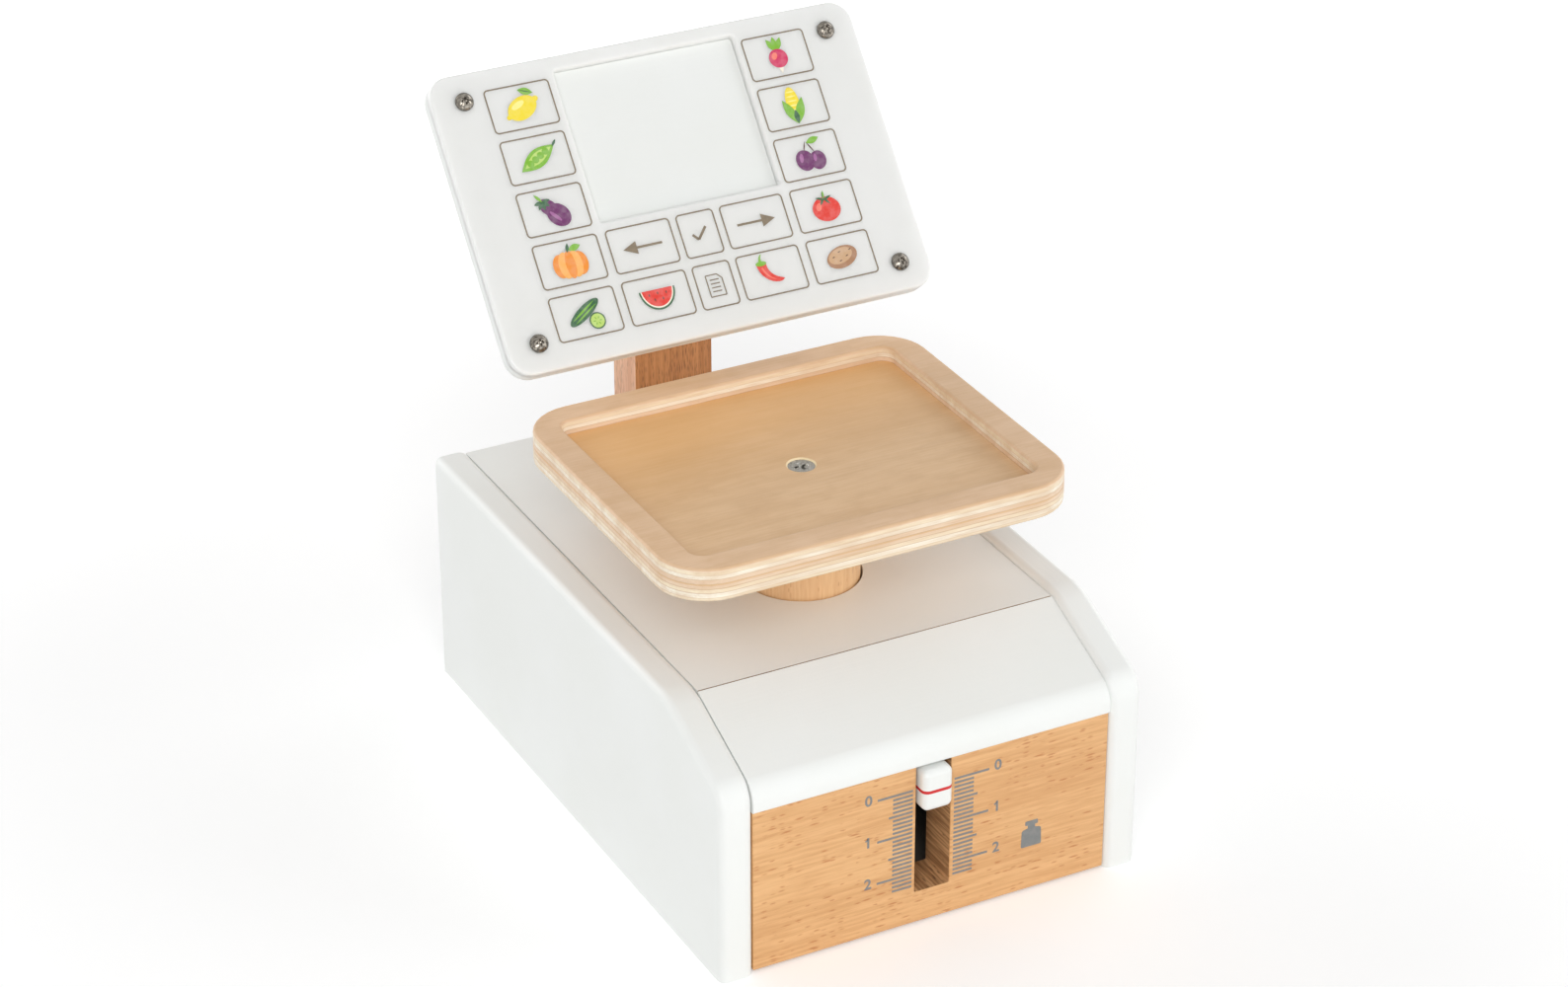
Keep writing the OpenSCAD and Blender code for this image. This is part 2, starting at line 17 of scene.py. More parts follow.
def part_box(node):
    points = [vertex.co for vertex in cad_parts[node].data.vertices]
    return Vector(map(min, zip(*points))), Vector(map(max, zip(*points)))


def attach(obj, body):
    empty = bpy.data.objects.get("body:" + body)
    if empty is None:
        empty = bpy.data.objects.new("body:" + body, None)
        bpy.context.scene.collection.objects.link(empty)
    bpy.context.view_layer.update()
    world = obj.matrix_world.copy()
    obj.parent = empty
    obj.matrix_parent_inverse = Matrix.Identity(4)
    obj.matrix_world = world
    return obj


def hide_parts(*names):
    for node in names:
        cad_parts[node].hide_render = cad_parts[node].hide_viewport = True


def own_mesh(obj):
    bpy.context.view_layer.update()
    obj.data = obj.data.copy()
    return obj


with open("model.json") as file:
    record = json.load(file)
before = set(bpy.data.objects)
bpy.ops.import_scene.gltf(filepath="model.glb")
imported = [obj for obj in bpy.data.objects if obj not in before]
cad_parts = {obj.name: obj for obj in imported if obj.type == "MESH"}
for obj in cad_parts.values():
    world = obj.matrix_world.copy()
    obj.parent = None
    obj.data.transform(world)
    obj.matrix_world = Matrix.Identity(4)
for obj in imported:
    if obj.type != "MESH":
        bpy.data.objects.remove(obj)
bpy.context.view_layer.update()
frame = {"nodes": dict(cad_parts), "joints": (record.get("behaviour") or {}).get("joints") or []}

# %% [markdown]
# ## The camera
# The photograph was taken from the front left, from well above the tray. Its place was solved from
# the corners of the body and of the display, so the numbers are the solution: where the lens was,
# how far it was turned round the scale and how steeply it looked down. A sensor 36 mm wide and the
# solved focal length give the same field of view.

# %% Camera
EYE = Vector((-0.5667, -1.0866, 0.7723))
AZIMUTH = math.radians(-27.66)
ELEVATION = math.radians(28.50)
SENSOR_W = 36.0
IMAGE_W = 1588
FOCAL_PIXELS = 4185.8

towards_eye = Vector((
    math.sin(AZIMUTH) * math.cos(ELEVATION),
    -math.cos(AZIMUTH) * math.cos(ELEVATION),
    math.sin(ELEVATION),
))
camera_data = bpy.data.cameras.new("camera")
camera_data.sensor_fit = "HORIZONTAL"
camera_data.sensor_width = SENSOR_W
camera_data.lens = SENSOR_W * FOCAL_PIXELS / IMAGE_W
camera = bpy.data.objects.new("camera", camera_data)
camera.location = EYE
camera.rotation_euler = (-towards_eye).to_track_quat("-Z", "Y").to_euler()
bpy.context.scene.collection.objects.link(camera)
bpy.context.scene.camera = camera
print("lens", round(camera_data.lens, 1), "mm")

# %% [markdown]
# ## Shaping boards with a few operators
# Nearly every piece here is a board: an outline with rounded corners, given a thickness, with its
# edges softened. A cube with a modifier could do it, but the outlines have slopes, slots and windows.
# So each board starts as one flat face with only its corners. A vertex bevel rounds a corner, an
# extrusion gives the thickness and an edge bevel softens what a sanding block would soften.

# %% Board helpers
SHARP_ANGLE = math.radians(40)
ARC_STEPS = 8
TOUCH = 1e-6


def add_outline(bm, corners, rounding):
    """Adds a flat face in the drawing plane; rounding holds one radius per corner, zero for a crisp one."""
    face = bm.faces.new([bm.verts.new((a, b, 0)) for a, b in corners])
    for vert, radius in zip(list(face.verts), rounding):
        if radius > 0:
            one, other = [edge.other_vert(vert).co - vert.co for edge in vert.link_edges]
            run = radius / math.tan(one.angle(other) / 2)
            bmesh.ops.bevel(
                bm, geom=[vert], offset=run, offset_type="ABSOLUTE", segments=ARC_STEPS,
                profile=0.5, affect="VERTICES", material=-1,
            )


def rectangle(width, height, middle=(0, 0)):
    """The four corners of a rectangle, counter-clockwise from the lower left one."""
    a, b = middle
    return [(a + s * width / 2, b + t * height / 2) for s, t in ((-1, -1), (1, -1), (1, 1), (-1, 1))]


def join_loops(bm):
    """Turns two outlines, one inside the other, into one ring of faces."""
    bmesh.ops.delete(bm, geom=bm.faces[:], context="FACES_ONLY")
    bmesh.ops.bridge_loops(bm, edges=bm.edges[:])


def thicken(bm, depth):
    """Gives every flat face of the drawing the same thickness along +Z."""
    grown = bmesh.ops.extrude_face_region(bm, geom=bm.faces[:])
    moved = [part for part in grown["geom"] if isinstance(part, bmesh.types.BMVert)]
    bmesh.ops.translate(bm, verts=moved, vec=(0, 0, depth))
    bmesh.ops.recalc_face_normals(bm, faces=bm.faces[:])


def soften(bm, width, segments, chosen=lambda edge: True):
    """Bevels the sharp edges that the test picks."""
    edges = [
        edge for edge in bm.edges
        if len(edge.link_faces) == 2 and edge.calc_face_angle() > SHARP_ANGLE and chosen(edge)
    ]
    bmesh.ops.bevel(
        bm, geom=edges, offset=width, offset_type="OFFSET", segments=segments,
        profile=0.5, affect="EDGES", material=-1,
    )


def at_level(level, axis=2):
    """A test for edges that lie in one plane of the drawing."""
    return lambda edge: all(abs(vert.co[axis] - level) < TOUCH for vert in edge.verts)


# %% [markdown]
# A drawing is then stood up in the scale's own frame. A side view is drawn as depth and height and
# thickened across the scale, a front view as width and height and thickened towards the viewer.
# Weighted normals keep the big faces flat to the eye, so that only the softened edges catch light.

# %% Placing and keeping a piece
SIDE_VIEW = Matrix(((0, 0, 1, 0), (1, 0, 0, 0), (0, 1, 0, 0), (0, 0, 0, 1)))
FRONT_VIEW = Matrix.Rotation(math.radians(90), 4, "X")


def place(bm, matrix):
    bmesh.ops.transform(bm, matrix=matrix, verts=bm.verts[:])


def keep_piece(name, bm, finishes, body, slot, *nodes):
    """Makes the object, hands it to its body and hides the solids that it stands for."""
    mesh = bpy.data.meshes.new(name)
    bm.to_mesh(mesh)
    bm.free()
    mesh.polygons.foreach_set("use_smooth", [True] * len(mesh.polygons))
    mesh.set_sharp_from_angle(angle=SHARP_ANGLE)
    for finish in finishes:
        mesh.materials.append(finish)
    piece = bpy.data.objects.new(name, mesh)
    bpy.context.scene.collection.objects.link(piece)
    piece.modifiers.new("even_normals", "WEIGHTED_NORMAL").keep_sharp = True
    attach(piece, body)
    if nodes:
        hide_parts(*nodes)
    print(f"{name}: {len(mesh.polygons)} faces")
    return piece


# %% [markdown]
# ## Finishes
# A finish is a node material. Effects that several finishes share, such as the figure of wood, are
# node groups with named sockets: a group gives tones and heights, and the Principled shader that
# uses them stays in the material. Colours are written as they look on a screen and turned into the
# linear values that the shader works with.

# %% Finish helpers
def tone(red, green, blue):
    """A screen colour from 0 to 255 as linear values with alpha."""
    def linear(value):
        share = value / 255
        return share / 12.92 if share <= 0.04045 else ((share + 0.055) / 1.055) ** 2.4
    return (linear(red), linear(green), linear(blue), 1.0)


def new_group(name, inputs, outputs):
    """A shader node group with its sockets, and its two end nodes."""
    group = bpy.data.node_groups.new(name, "ShaderNodeTree")
    for socket, kind in inputs:
        group.interface.new_socket(socket, in_out="INPUT", socket_type=kind)
    for socket, kind in outputs:
        group.interface.new_socket(socket, in_out="OUTPUT", socket_type=kind)
    return group, group.nodes.new("NodeGroupInput"), group.nodes.new("NodeGroupOutput")


# %% Noise, ranges and mixes
def add_noise(tree, vector, stretch, detail):
    """Noise on a vector that is first stretched; bigger numbers give finer grain along that axis."""
    scaled = tree.nodes.new("ShaderNodeVectorMath")
    scaled.operation = "MULTIPLY"
    scaled.inputs[1].default_value = stretch
    tree.links.new(vector, scaled.inputs[0])
    noise = tree.nodes.new("ShaderNodeTexNoise")
    noise.inputs["Scale"].default_value = 1
    noise.inputs["Detail"].default_value = detail
    tree.links.new(scaled.outputs[0], noise.inputs["Vector"])
    return noise.outputs["Fac"]


def add_range(tree, value, low, high, to_low=0.0, to_high=1.0):
    """Maps a value from one range to another, smoothly and clamped."""
    mapped = tree.nodes.new("ShaderNodeMapRange")
    mapped.interpolation_type = "SMOOTHSTEP"
    for socket, number in zip(("From Min", "From Max", "To Min", "To Max"), (low, high, to_low, to_high)):
        mapped.inputs[socket].default_value = number
    tree.links.new(value, mapped.inputs["Value"])
    return mapped.outputs["Result"]


def add_math(tree, operation, first, second):
    node = tree.nodes.new("ShaderNodeMath")
    node.operation = operation
    for socket, value in zip(node.inputs, (first, second)):
        if isinstance(value, (int, float)):
            socket.default_value = value
        else:
            tree.links.new(value, socket)
    return node.outputs[0]


# A Mix node has sockets for every data type; these are the places of its colour sockets.
MIX_A = 6
MIX_B = 7
MIX_RESULT = 2


def add_mix(tree, share, first, second):
    """Mixes two colours; each is a socket or a colour."""
    node = tree.nodes.new("ShaderNodeMix")
    node.data_type = "RGBA"
    tree.links.new(share, node.inputs["Factor"])
    for index, value in ((MIX_A, first), (MIX_B, second)):
        if isinstance(value, tuple):
            node.inputs[index].default_value = value
        else:
            tree.links.new(value, node.inputs[index])
    return node.outputs[MIX_RESULT]


# %% Making a finish
def new_finish(name):
    """A material with its shader and an Object coordinate socket."""
    finish = bpy.data.materials.new(name)
    finish.use_nodes = True
    shader = finish.node_tree.nodes["Principled BSDF"]
    place_node = finish.node_tree.nodes.new("ShaderNodeTexCoord")
    return finish, finish.node_tree, shader, place_node.outputs["Object"]


def turn_coordinates(tree, vector, turn, stretch=(1, 1, 1)):
    """Turns and stretches a pattern on its piece."""
    mapping = tree.nodes.new("ShaderNodeMapping")
    mapping.inputs["Rotation"].default_value = turn
    mapping.inputs["Scale"].default_value = stretch
    tree.links.new(vector, mapping.inputs["Vector"])
    return mapping.outputs["Vector"]


def add_bump(tree, shader, height, distance):
    bump = tree.nodes.new("ShaderNodeBump")
    bump.inputs["Distance"].default_value = distance
    bump.inputs["Strength"].default_value = 1
    tree.links.new(height, bump.inputs["Height"])
    tree.links.new(bump.outputs["Normal"], shader.inputs["Normal"])


def use_group(tree, group, vector):
    node = tree.nodes.new("ShaderNodeGroup")
    node.node_tree = group
    tree.links.new(vector, node.inputs["Vector"])
    return node


# %% [markdown]
# ### Wood figure
# Beech shows three things at once: long soft streaks along the grain, pores as fine dark hairs, and the
# short lens-shaped flecks that give beech away. Hairs, streaks and pores are noise stretched along X. A
# fleck is a cell of a stretched Voronoi pattern: only some cells are kept, in two sizes, some faint, and
# more of them in some places than in others.

# %% Streaks and pores of the figure
HAIRS = (60, 1100, 1100)
STREAKS = (8, 240, 240)
BANDS = (4, 45, 45)
PORES = (160, 3200, 3200)
HAIR_WEIGHT = 0.45
STREAK_WEIGHT = 0.3
BAND_WEIGHT = 0.25
TONE_SPAN = (0.38, 0.62)
PORE_SPAN = (0.55, 0.72)
FLOAT = "NodeSocketFloat"

wood_figure, figure_in, figure_out = new_group(
    "wood_figure",
    [("Vector", "NodeSocketVector"), ("Fleck Share", FLOAT), ("Fleck Fineness", FLOAT)],
    [("Tone", FLOAT), ("Pore", FLOAT), ("Fleck", FLOAT), ("Height", FLOAT)],
)
figure_vector = figure_in.outputs["Vector"]
hair = add_noise(wood_figure, figure_vector, HAIRS, detail=3)
streak = add_noise(wood_figure, figure_vector, STREAKS, detail=4)
band = add_noise(wood_figure, figure_vector, BANDS, detail=2)
coarse = add_math(
    wood_figure, "ADD",
    add_math(wood_figure, "MULTIPLY", streak, STREAK_WEIGHT),
    add_math(wood_figure, "MULTIPLY", band, BAND_WEIGHT),
)
both = add_math(wood_figure, "ADD", add_math(wood_figure, "MULTIPLY", hair, HAIR_WEIGHT), coarse)
figure_tone = add_range(wood_figure, both, *TONE_SPAN)
pore = add_range(wood_figure, add_noise(wood_figure, figure_vector, PORES, detail=2), *PORE_SPAN)
print("streaks and pores:", len(wood_figure.nodes), "nodes")

# %% Flecks of the figure
SHORT_FLECKS = (380, 1400, 1400)
LONG_FLECKS = (240, 1300, 1300)
LONG_SHARE = 0.5
CLUSTERS = (14, 60, 60)
CLUSTER_SPAN = (0.35, 0.65, 0.3, 1.7)
FAINTEST_FLECK = 0.35
FLECK_RIM = 0.55
FLECK_HEART = 0.15
PORE_DEPTH = 0.5
STREAK_HEIGHT = 0.6


def add_flecks(tree, vector, stretch, fineness, share):
    """Keeps a share of the cells of a stretched Voronoi pattern, each darker in its middle."""
    space = tree.nodes.new("ShaderNodeVectorMath")
    space.operation = "MULTIPLY"
    space.inputs[1].default_value = stretch
    cells = tree.nodes.new("ShaderNodeTexVoronoi")
    tree.links.new(fineness, cells.inputs["Scale"])
    pick = tree.nodes.new("ShaderNodeSeparateColor")
    tree.links.new(vector, space.inputs[0])
    tree.links.new(space.outputs[0], cells.inputs["Vector"])
    tree.links.new(cells.outputs["Color"], pick.inputs["Color"])
    kept = add_math(tree, "LESS_THAN", pick.outputs["Red"], share)
    depth = add_range(tree, pick.outputs["Green"], 0, 1, FAINTEST_FLECK, 1)
    spot = add_range(tree, cells.outputs["Distance"], FLECK_RIM, FLECK_HEART)
    return add_math(tree, "MULTIPLY", add_math(tree, "MULTIPLY", kept, depth), spot)


figure_fineness = figure_in.outputs["Fleck Fineness"]
cluster = add_noise(wood_figure, figure_vector, CLUSTERS, detail=2)
crowding = add_range(wood_figure, cluster, *CLUSTER_SPAN)
fleck_share = add_math(wood_figure, "MULTIPLY", figure_in.outputs["Fleck Share"], crowding)
long_share = add_math(wood_figure, "MULTIPLY", fleck_share, LONG_SHARE)
fleck = add_math(
    wood_figure, "MAXIMUM",
    add_flecks(wood_figure, figure_vector, SHORT_FLECKS, figure_fineness, fleck_share),
    add_flecks(wood_figure, figure_vector, LONG_FLECKS, figure_fineness, long_share),
)
hollow = add_math(wood_figure, "ADD", add_math(wood_figure, "MULTIPLY", pore, PORE_DEPTH), fleck)
ridge = add_math(wood_figure, "MULTIPLY", streak, STREAK_HEIGHT)
figure_height = add_math(wood_figure, "SUBTRACT", ridge, hollow)
for socket, value in (("Tone", figure_tone), ("Pore", pore), ("Fleck", fleck), ("Height", figure_height)):
    wood_figure.links.new(value, figure_out.inputs[socket])
print("wood figure group:", len(wood_figure.nodes), "nodes")

# %% [markdown]
# ### Beech and plain wood
# The front board, the post and the plunger are lacquered beech; cleats and blocks inside are plain
# planed wood. One function makes them all, with the grain turned to run along the piece. The lacquer
# is a thin coat over a rougher wood. The slot's walls are bare, with the marks of the saw running from
# front to back, and darker: partly the bare sawn wood, partly painted shade inside the slot.

# %% Beech finish
ALONG_X = (0, 0, 0)
ALONG_Y = (0, 0, math.radians(90))
ALONG_Z = (0, math.radians(90), 0)
LACQUER = 0.25
LACQUER_ROUGHNESS = 0.35
FLECK_STRENGTH = 0.75
PORE_STRENGTH = 0.22
WOOD_ROUGHNESS = (0.42, 0.52)
WOOD_BUMP = 0.00004
PLAIN_TONES = (tone(226, 198, 156), tone(206, 170, 124), tone(176, 134, 90))


def beech_finish(
        name, light, dark, fleck_colour, fleck_share, grain, stretch=(1, 1, 1), fineness=1.0, coat=LACQUER):
    finish, tree, shader, vector = new_finish(name)
    figure = use_group(tree, wood_figure, turn_coordinates(tree, vector, grain, stretch))
    figure.inputs["Fleck Share"].default_value = fleck_share
    figure.inputs["Fleck Fineness"].default_value = fineness
    colour = add_mix(tree, figure.outputs["Tone"], light, dark)
    for mark, strength in (("Fleck", FLECK_STRENGTH), ("Pore", PORE_STRENGTH)):
        share = add_math(tree, "MULTIPLY", figure.outputs[mark], strength)
        colour = add_mix(tree, share, colour, fleck_colour)
    tree.links.new(colour, shader.inputs["Base Color"])
    roughness = add_range(tree, figure.outputs["Tone"], 0, 1, *WOOD_ROUGHNESS)
    tree.links.new(roughness, shader.inputs["Roughness"])
    shader.inputs["Coat Weight"].default_value = coat
    shader.inputs["Coat Roughness"].default_value = LACQUER_ROUGHNESS
    add_bump(tree, shader, figure.outputs["Height"], WOOD_BUMP)
    return finish


front_beech = beech_finish(
    "front_beech", tone(229, 180, 124), tone(212, 159, 104), tone(184, 112, 54), 0.13, ALONG_X,
    fineness=0.85)
sawn_shaded_beech = beech_finish(
    "sawn_shaded_beech", tone(226, 178, 128), tone(150, 108, 70), tone(84, 54, 32), 0.25, ALONG_Y, coat=0)
post_beech = beech_finish(
    "post_beech", tone(236, 184, 144), tone(214, 154, 114), tone(150, 94, 62), 0.4, ALONG_Z,
    stretch=(1.3, 1.3, 0.8))
# Front and back of the post: darker beech, partly grain and partly painted shade from the display.
post_front_shaded_beech = beech_finish(
    "post_front_shaded_beech", tone(207, 143, 89), tone(177, 114, 64), tone(100, 56, 28), 0.45, ALONG_Z,
    stretch=(1.2, 1.2, 0.6), fineness=1.35)
# The plunger's beech is made very pale: painted light against the shade under the tray.
plunger_lightened_beech = beech_finish(
    "plunger_lightened_beech", tone(248, 206, 156), tone(236, 188, 138), tone(208, 152, 104), 0.06, ALONG_Z)
plain_wood = beech_finish("plain_wood", *PLAIN_TONES, 0.05, ALONG_X, coat=0)
print("beech and plain wood finishes made")

# %% [markdown]
# ### White paint
# The body is sprayed white over close-grained wood. Spray paint is not flat: it has a fine orange
# peel, and the grain under it still shows as faint lines. Both are bump, with only a trace of colour,
# because a stronger tint would read as dirt.

# %% White paint finish
PEEL = (900, 900, 900)
GRAIN_LINES = (40, 900, 900)
PATCHES = (22, 22, 22)
PEEL_WEIGHT = 0.45
PATCH_SPAN = (0.3, 0.7)
PAINT_ROUGHNESS = (0.38, 0.44)
PAINT_SHINE = 0.4
PAINT_BUMP = 0.00005

paint_skin, paint_in, paint_out = new_group(
    "paint_skin", [("Vector", "NodeSocketVector")], [("Patch", FLOAT), ("Height", FLOAT)])
paint_vector = paint_in.outputs["Vector"]
peel = add_noise(paint_skin, paint_vector, PEEL, detail=2)
lines = add_noise(paint_skin, paint_vector, GRAIN_LINES, detail=4)
patches = add_noise(paint_skin, paint_vector, PATCHES, detail=3)
skin_height = add_math(paint_skin, "ADD", add_math(paint_skin, "MULTIPLY", peel, PEEL_WEIGHT), lines)
paint_skin.links.new(skin_height, paint_out.inputs["Height"])
paint_skin.links.new(patches, paint_out.inputs["Patch"])


def paint_finish(name, bright, dull, grain):
    finish, tree, shader, vector = new_finish(name)
    skin = use_group(tree, paint_skin, turn_coordinates(tree, vector, grain))
    patch = add_range(tree, skin.outputs["Patch"], *PATCH_SPAN)
    tree.links.new(add_mix(tree, patch, bright, dull), shader.inputs["Base Color"])
    roughness = add_range(tree, skin.outputs["Patch"], *PATCH_SPAN, *PAINT_ROUGHNESS)
    tree.links.new(roughness, shader.inputs["Roughness"])
    shader.inputs["Specular IOR Level"].default_value = PAINT_SHINE
    add_bump(tree, shader, skin.outputs["Height"], PAINT_BUMP)
    return finish


WHITE_BRIGHT = tone(238, 240, 238)
WHITE_DULL = tone(236, 238, 235)
side_paint = paint_finish("side_paint", WHITE_BRIGHT, WHITE_DULL, ALONG_Y)
board_paint = paint_finish("board_paint", WHITE_BRIGHT, WHITE_DULL, ALONG_X)
print("paint finishes made")

# %% [markdown]
# ### Plywood
# The tray is two sheets of plywood. Its flat faces show a face veneer with a quiet figure, and its
# edges show the layers: veneer, a pale core, a thin brown line where the glue soaked in, veneer again.
# A layer is a band of heights, so one colour ramp over the height serves faces, edges and the rounded
# corners between them. The rim's ramp starts with a dark band where it is glued to the base: the glue
# joint, and painted shade where the inner wall meets the floor. Towards the back the tray's floor is
# tinted golden: painted light, the warm light that the rim's walls throw back onto it.

# %% Plywood finish
VENEER_DEEP = tone(203, 163, 118)
JOINT_LINE = tone(170, 130, 94)
MOTTLE = (45, 170, 170)
EDGE_STREAKS = (120, 120, 1900)
MOTTLE_SPAN = (0.38, 0.68, 0, 0.36)
EDGE_STREAK_SPAN = (0.45, 0.8, 0, 0.35)
WAVER = (30, 30, 30)
WAVER_SHARE = 0.05
PLY_FLECKS = 0.03
PLY_FIGURE = 0.26
PLY_PORES = 0.12
PLY_ROUGHNESS = (0.45, 0.55)
PLY_LACQUER = 0.2
PLY_LACQUER_ROUGHNESS = 0.4
PLY_BUMP = 0.00003


def add_height(tree, vector):
    """The Z of a vector."""
    split = tree.nodes.new("ShaderNodeSeparateXYZ")
    tree.links.new(vector, split.inputs["Vector"])
    return split.outputs["Z"]


def plywood_finish(name, bottom, sheet_t, layers, grain):
    """layers: (height within the sheet as a share, colour) from the bottom up."""
    finish, tree, shader, vector = new_finish(name)
    rise = add_math(tree, "SUBTRACT", add_height(tree, vector), bottom)
    waver = add_math(tree, "SUBTRACT", add_noise(tree, vector, WAVER, detail=3), 0.5)
    level = add_math(
        tree, "ADD",
        add_math(tree, "DIVIDE", rise, sheet_t),
        add_math(tree, "MULTIPLY", waver, WAVER_SHARE),
    )
    ramp = tree.nodes.new("ShaderNodeValToRGB")
    while len(ramp.color_ramp.elements) < len(layers):
        ramp.color_ramp.elements.new(0.5)
    for element, (share, colour) in zip(ramp.color_ramp.elements, layers):
        element.position = share
        element.color = colour
    tree.links.new(level, ramp.inputs["Fac"])
    turned = turn_coordinates(tree, vector, grain)
    figure = use_group(tree, wood_figure, turned)
    figure.inputs["Fleck Share"].default_value = PLY_FLECKS
    figure.inputs["Fleck Fineness"].default_value = 1
    streaks = add_range(tree, add_noise(tree, vector, EDGE_STREAKS, detail=4), *EDGE_STREAK_SPAN)
    mottle = add_range(tree, add_noise(tree, turned, MOTTLE, detail=3), *MOTTLE_SPAN)
    depth = add_math(tree, "MULTIPLY", figure.outputs["Tone"], PLY_FIGURE)
    colour = ramp.outputs["Color"]
    for share in (streaks, mottle, depth):
        colour = add_mix(tree, share, colour, VENEER_DEEP)
    pores = add_math(tree, "MULTIPLY", figure.outputs["Pore"], PLY_PORES)
    tree.links.new(add_mix(tree, pores, colour, JOINT_LINE), shader.inputs["Base Color"])
    roughness = add_range(tree, figure.outputs["Tone"], 0, 1, *PLY_ROUGHNESS)
    tree.links.new(roughness, shader.inputs["Roughness"])
    shader.inputs["Coat Weight"].default_value = PLY_LACQUER
    shader.inputs["Coat Roughness"].default_value = PLY_LACQUER_ROUGHNESS
    add_bump(tree, shader, figure.outputs["Height"], PLY_BUMP)
    return finish


# %% Floor with painted bounce light
BOUNCE_GOLD = tone(232, 177, 108)
TO_BACK = (-0.12, 0.99, 0)
BOUNCE_START = -0.035
BOUNCE_END = 0.03
BOUNCE_SHARE = 0.62
LACQUER_T = 0.0002


def reopen(finish):
    """The tree, shader, colour socket and Object coordinates of a finish that is already made."""
    tree = finish.node_tree
    shader = tree.nodes["Principled BSDF"]
    colour = shader.inputs["Base Color"].links[0].from_socket
    return tree, shader, colour, tree.nodes["Texture Coordinate"].outputs["Object"]


def warm_floor(finish, floor_z):
    """Paints warm bounce light on the tray's floor as a golden tint that grows towards the back."""
    tree, shader, plain, vector = reopen(finish)
    along = tree.nodes.new("ShaderNodeVectorMath")
    along.operation = "DOT_PRODUCT"
    along.inputs[1].default_value = TO_BACK
    tree.links.new(vector, along.inputs[0])
    # The golden tint is painted light: warm bounce from the rim, growing towards the back.
    on_floor = add_range(tree, add_height(tree, vector), floor_z - 2 * LACQUER_T, floor_z - LACQUER_T)
    amount = add_range(tree, along.outputs["Value"], BOUNCE_START, BOUNCE_END, 0, BOUNCE_SHARE)
    bounce_glow = add_math(tree, "MULTIPLY", on_floor, amount)
    tree.links.new(add_mix(tree, bounce_glow, plain, BOUNCE_GOLD), shader.inputs["Base Color"])


# %% Layers of the two sheets
VENEER = tone(224, 189, 153)
FLOOR_VENEER = tone(224, 188, 146)
PEACH = tone(235, 211, 185)
CORE = tone(247, 239, 222)
CORE_WARM = tone(243, 228, 201)
THIN_LINE = tone(224, 202, 170)
GLUE_LINE = tone(202, 168, 132)
BASE_LAYERS = [
    (0.0, VENEER), (0.02, VENEER), (0.05, CORE_WARM), (0.2, CORE_WARM), (0.23, THIN_LINE),
    (0.27, CORE), (0.47, CORE), (0.5, GLUE_LINE), (0.53, CORE_WARM), (0.7, CORE_WARM),
    (0.73, GLUE_LINE), (0.77, PEACH), (0.9, PEACH), (0.94, FLOOR_VENEER), (1.0, FLOOR_VENEER),
]
# The rim's lowest band is dark: the glue joint with the base, and painted shade where the inner wall meets
# the tray's floor.
RIM_LAYERS = [
    (0.0, JOINT_LINE), (0.035, PEACH), (0.26, PEACH), (0.29, GLUE_LINE), (0.32, CORE), (0.54, CORE),
    (0.57, THIN_LINE), (0.6, CORE_WARM), (0.8, CORE_WARM), (0.84, PEACH), (0.89, VENEER), (1.0, VENEER),
]

base_low, base_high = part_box("tray_base")
rim_low, rim_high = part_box("tray_frame")
base_ply = plywood_finish("base_ply", base_low.z, base_high.z - base_low.z, BASE_LAYERS, ALONG_X)
warm_floor(base_ply, base_high.z)
rim_ply = plywood_finish("rim_ply", rim_low.z, rim_high.z - rim_low.z, RIM_LAYERS, ALONG_X)
print("plywood finishes made")

# %% [markdown]
# ### Metal, plastic and ink
# The screws are plated steel: bright zinc in the tray and dark nickel on the display, both scuffed by
# a screwdriver. The display's sheet is a milky gloss plastic: light goes a few millimetres into it, so
# its edges glow softly. Inks are matt, thin and very slightly uneven, which is why even they get a noise.

# %% Metal finish
SCUFFS = (700, 2600, 700)
SCUFF_SPAN = (0.35, 0.7)
FINE_BUMP = 0.00001


def metal_finish(name, bright, worn, smooth, rough):
    finish, tree, shader, vector = new_finish(name)
    scuff = add_range(tree, add_noise(tree, vector, SCUFFS, detail=4), *SCUFF_SPAN)
    tree.links.new(add_mix(tree, scuff, bright, worn), shader.inputs["Base Color"])
    tree.links.new(add_range(tree, scuff, 0, 1, smooth, rough), shader.inputs["Roughness"])
    shader.inputs["Metallic"].default_value = 1
    add_bump(tree, shader, scuff, FINE_BUMP)
    return finish


zinc = metal_finish("zinc", tone(180, 178, 172), tone(136, 134, 128), 0.26, 0.44)
dark_nickel = metal_finish("dark_nickel", tone(152, 146, 136), tone(60, 55, 50), 0.14, 0.3)
spring_wire = metal_finish("spring_wire", tone(170, 170, 170), tone(128, 128, 130), 0.25, 0.4)
print("metal finishes made")

# %% Plastic finish
CLOUDS = (30, 30, 30)
HAZE = (600, 600, 600)
HAZE_SPAN = (0.3, 0.7)
HAZE_ROUGHNESS = 0.08
GLOSS_COAT = 0.15
MILKINESS = 0.8
MILKY_DEPTH = 0.006


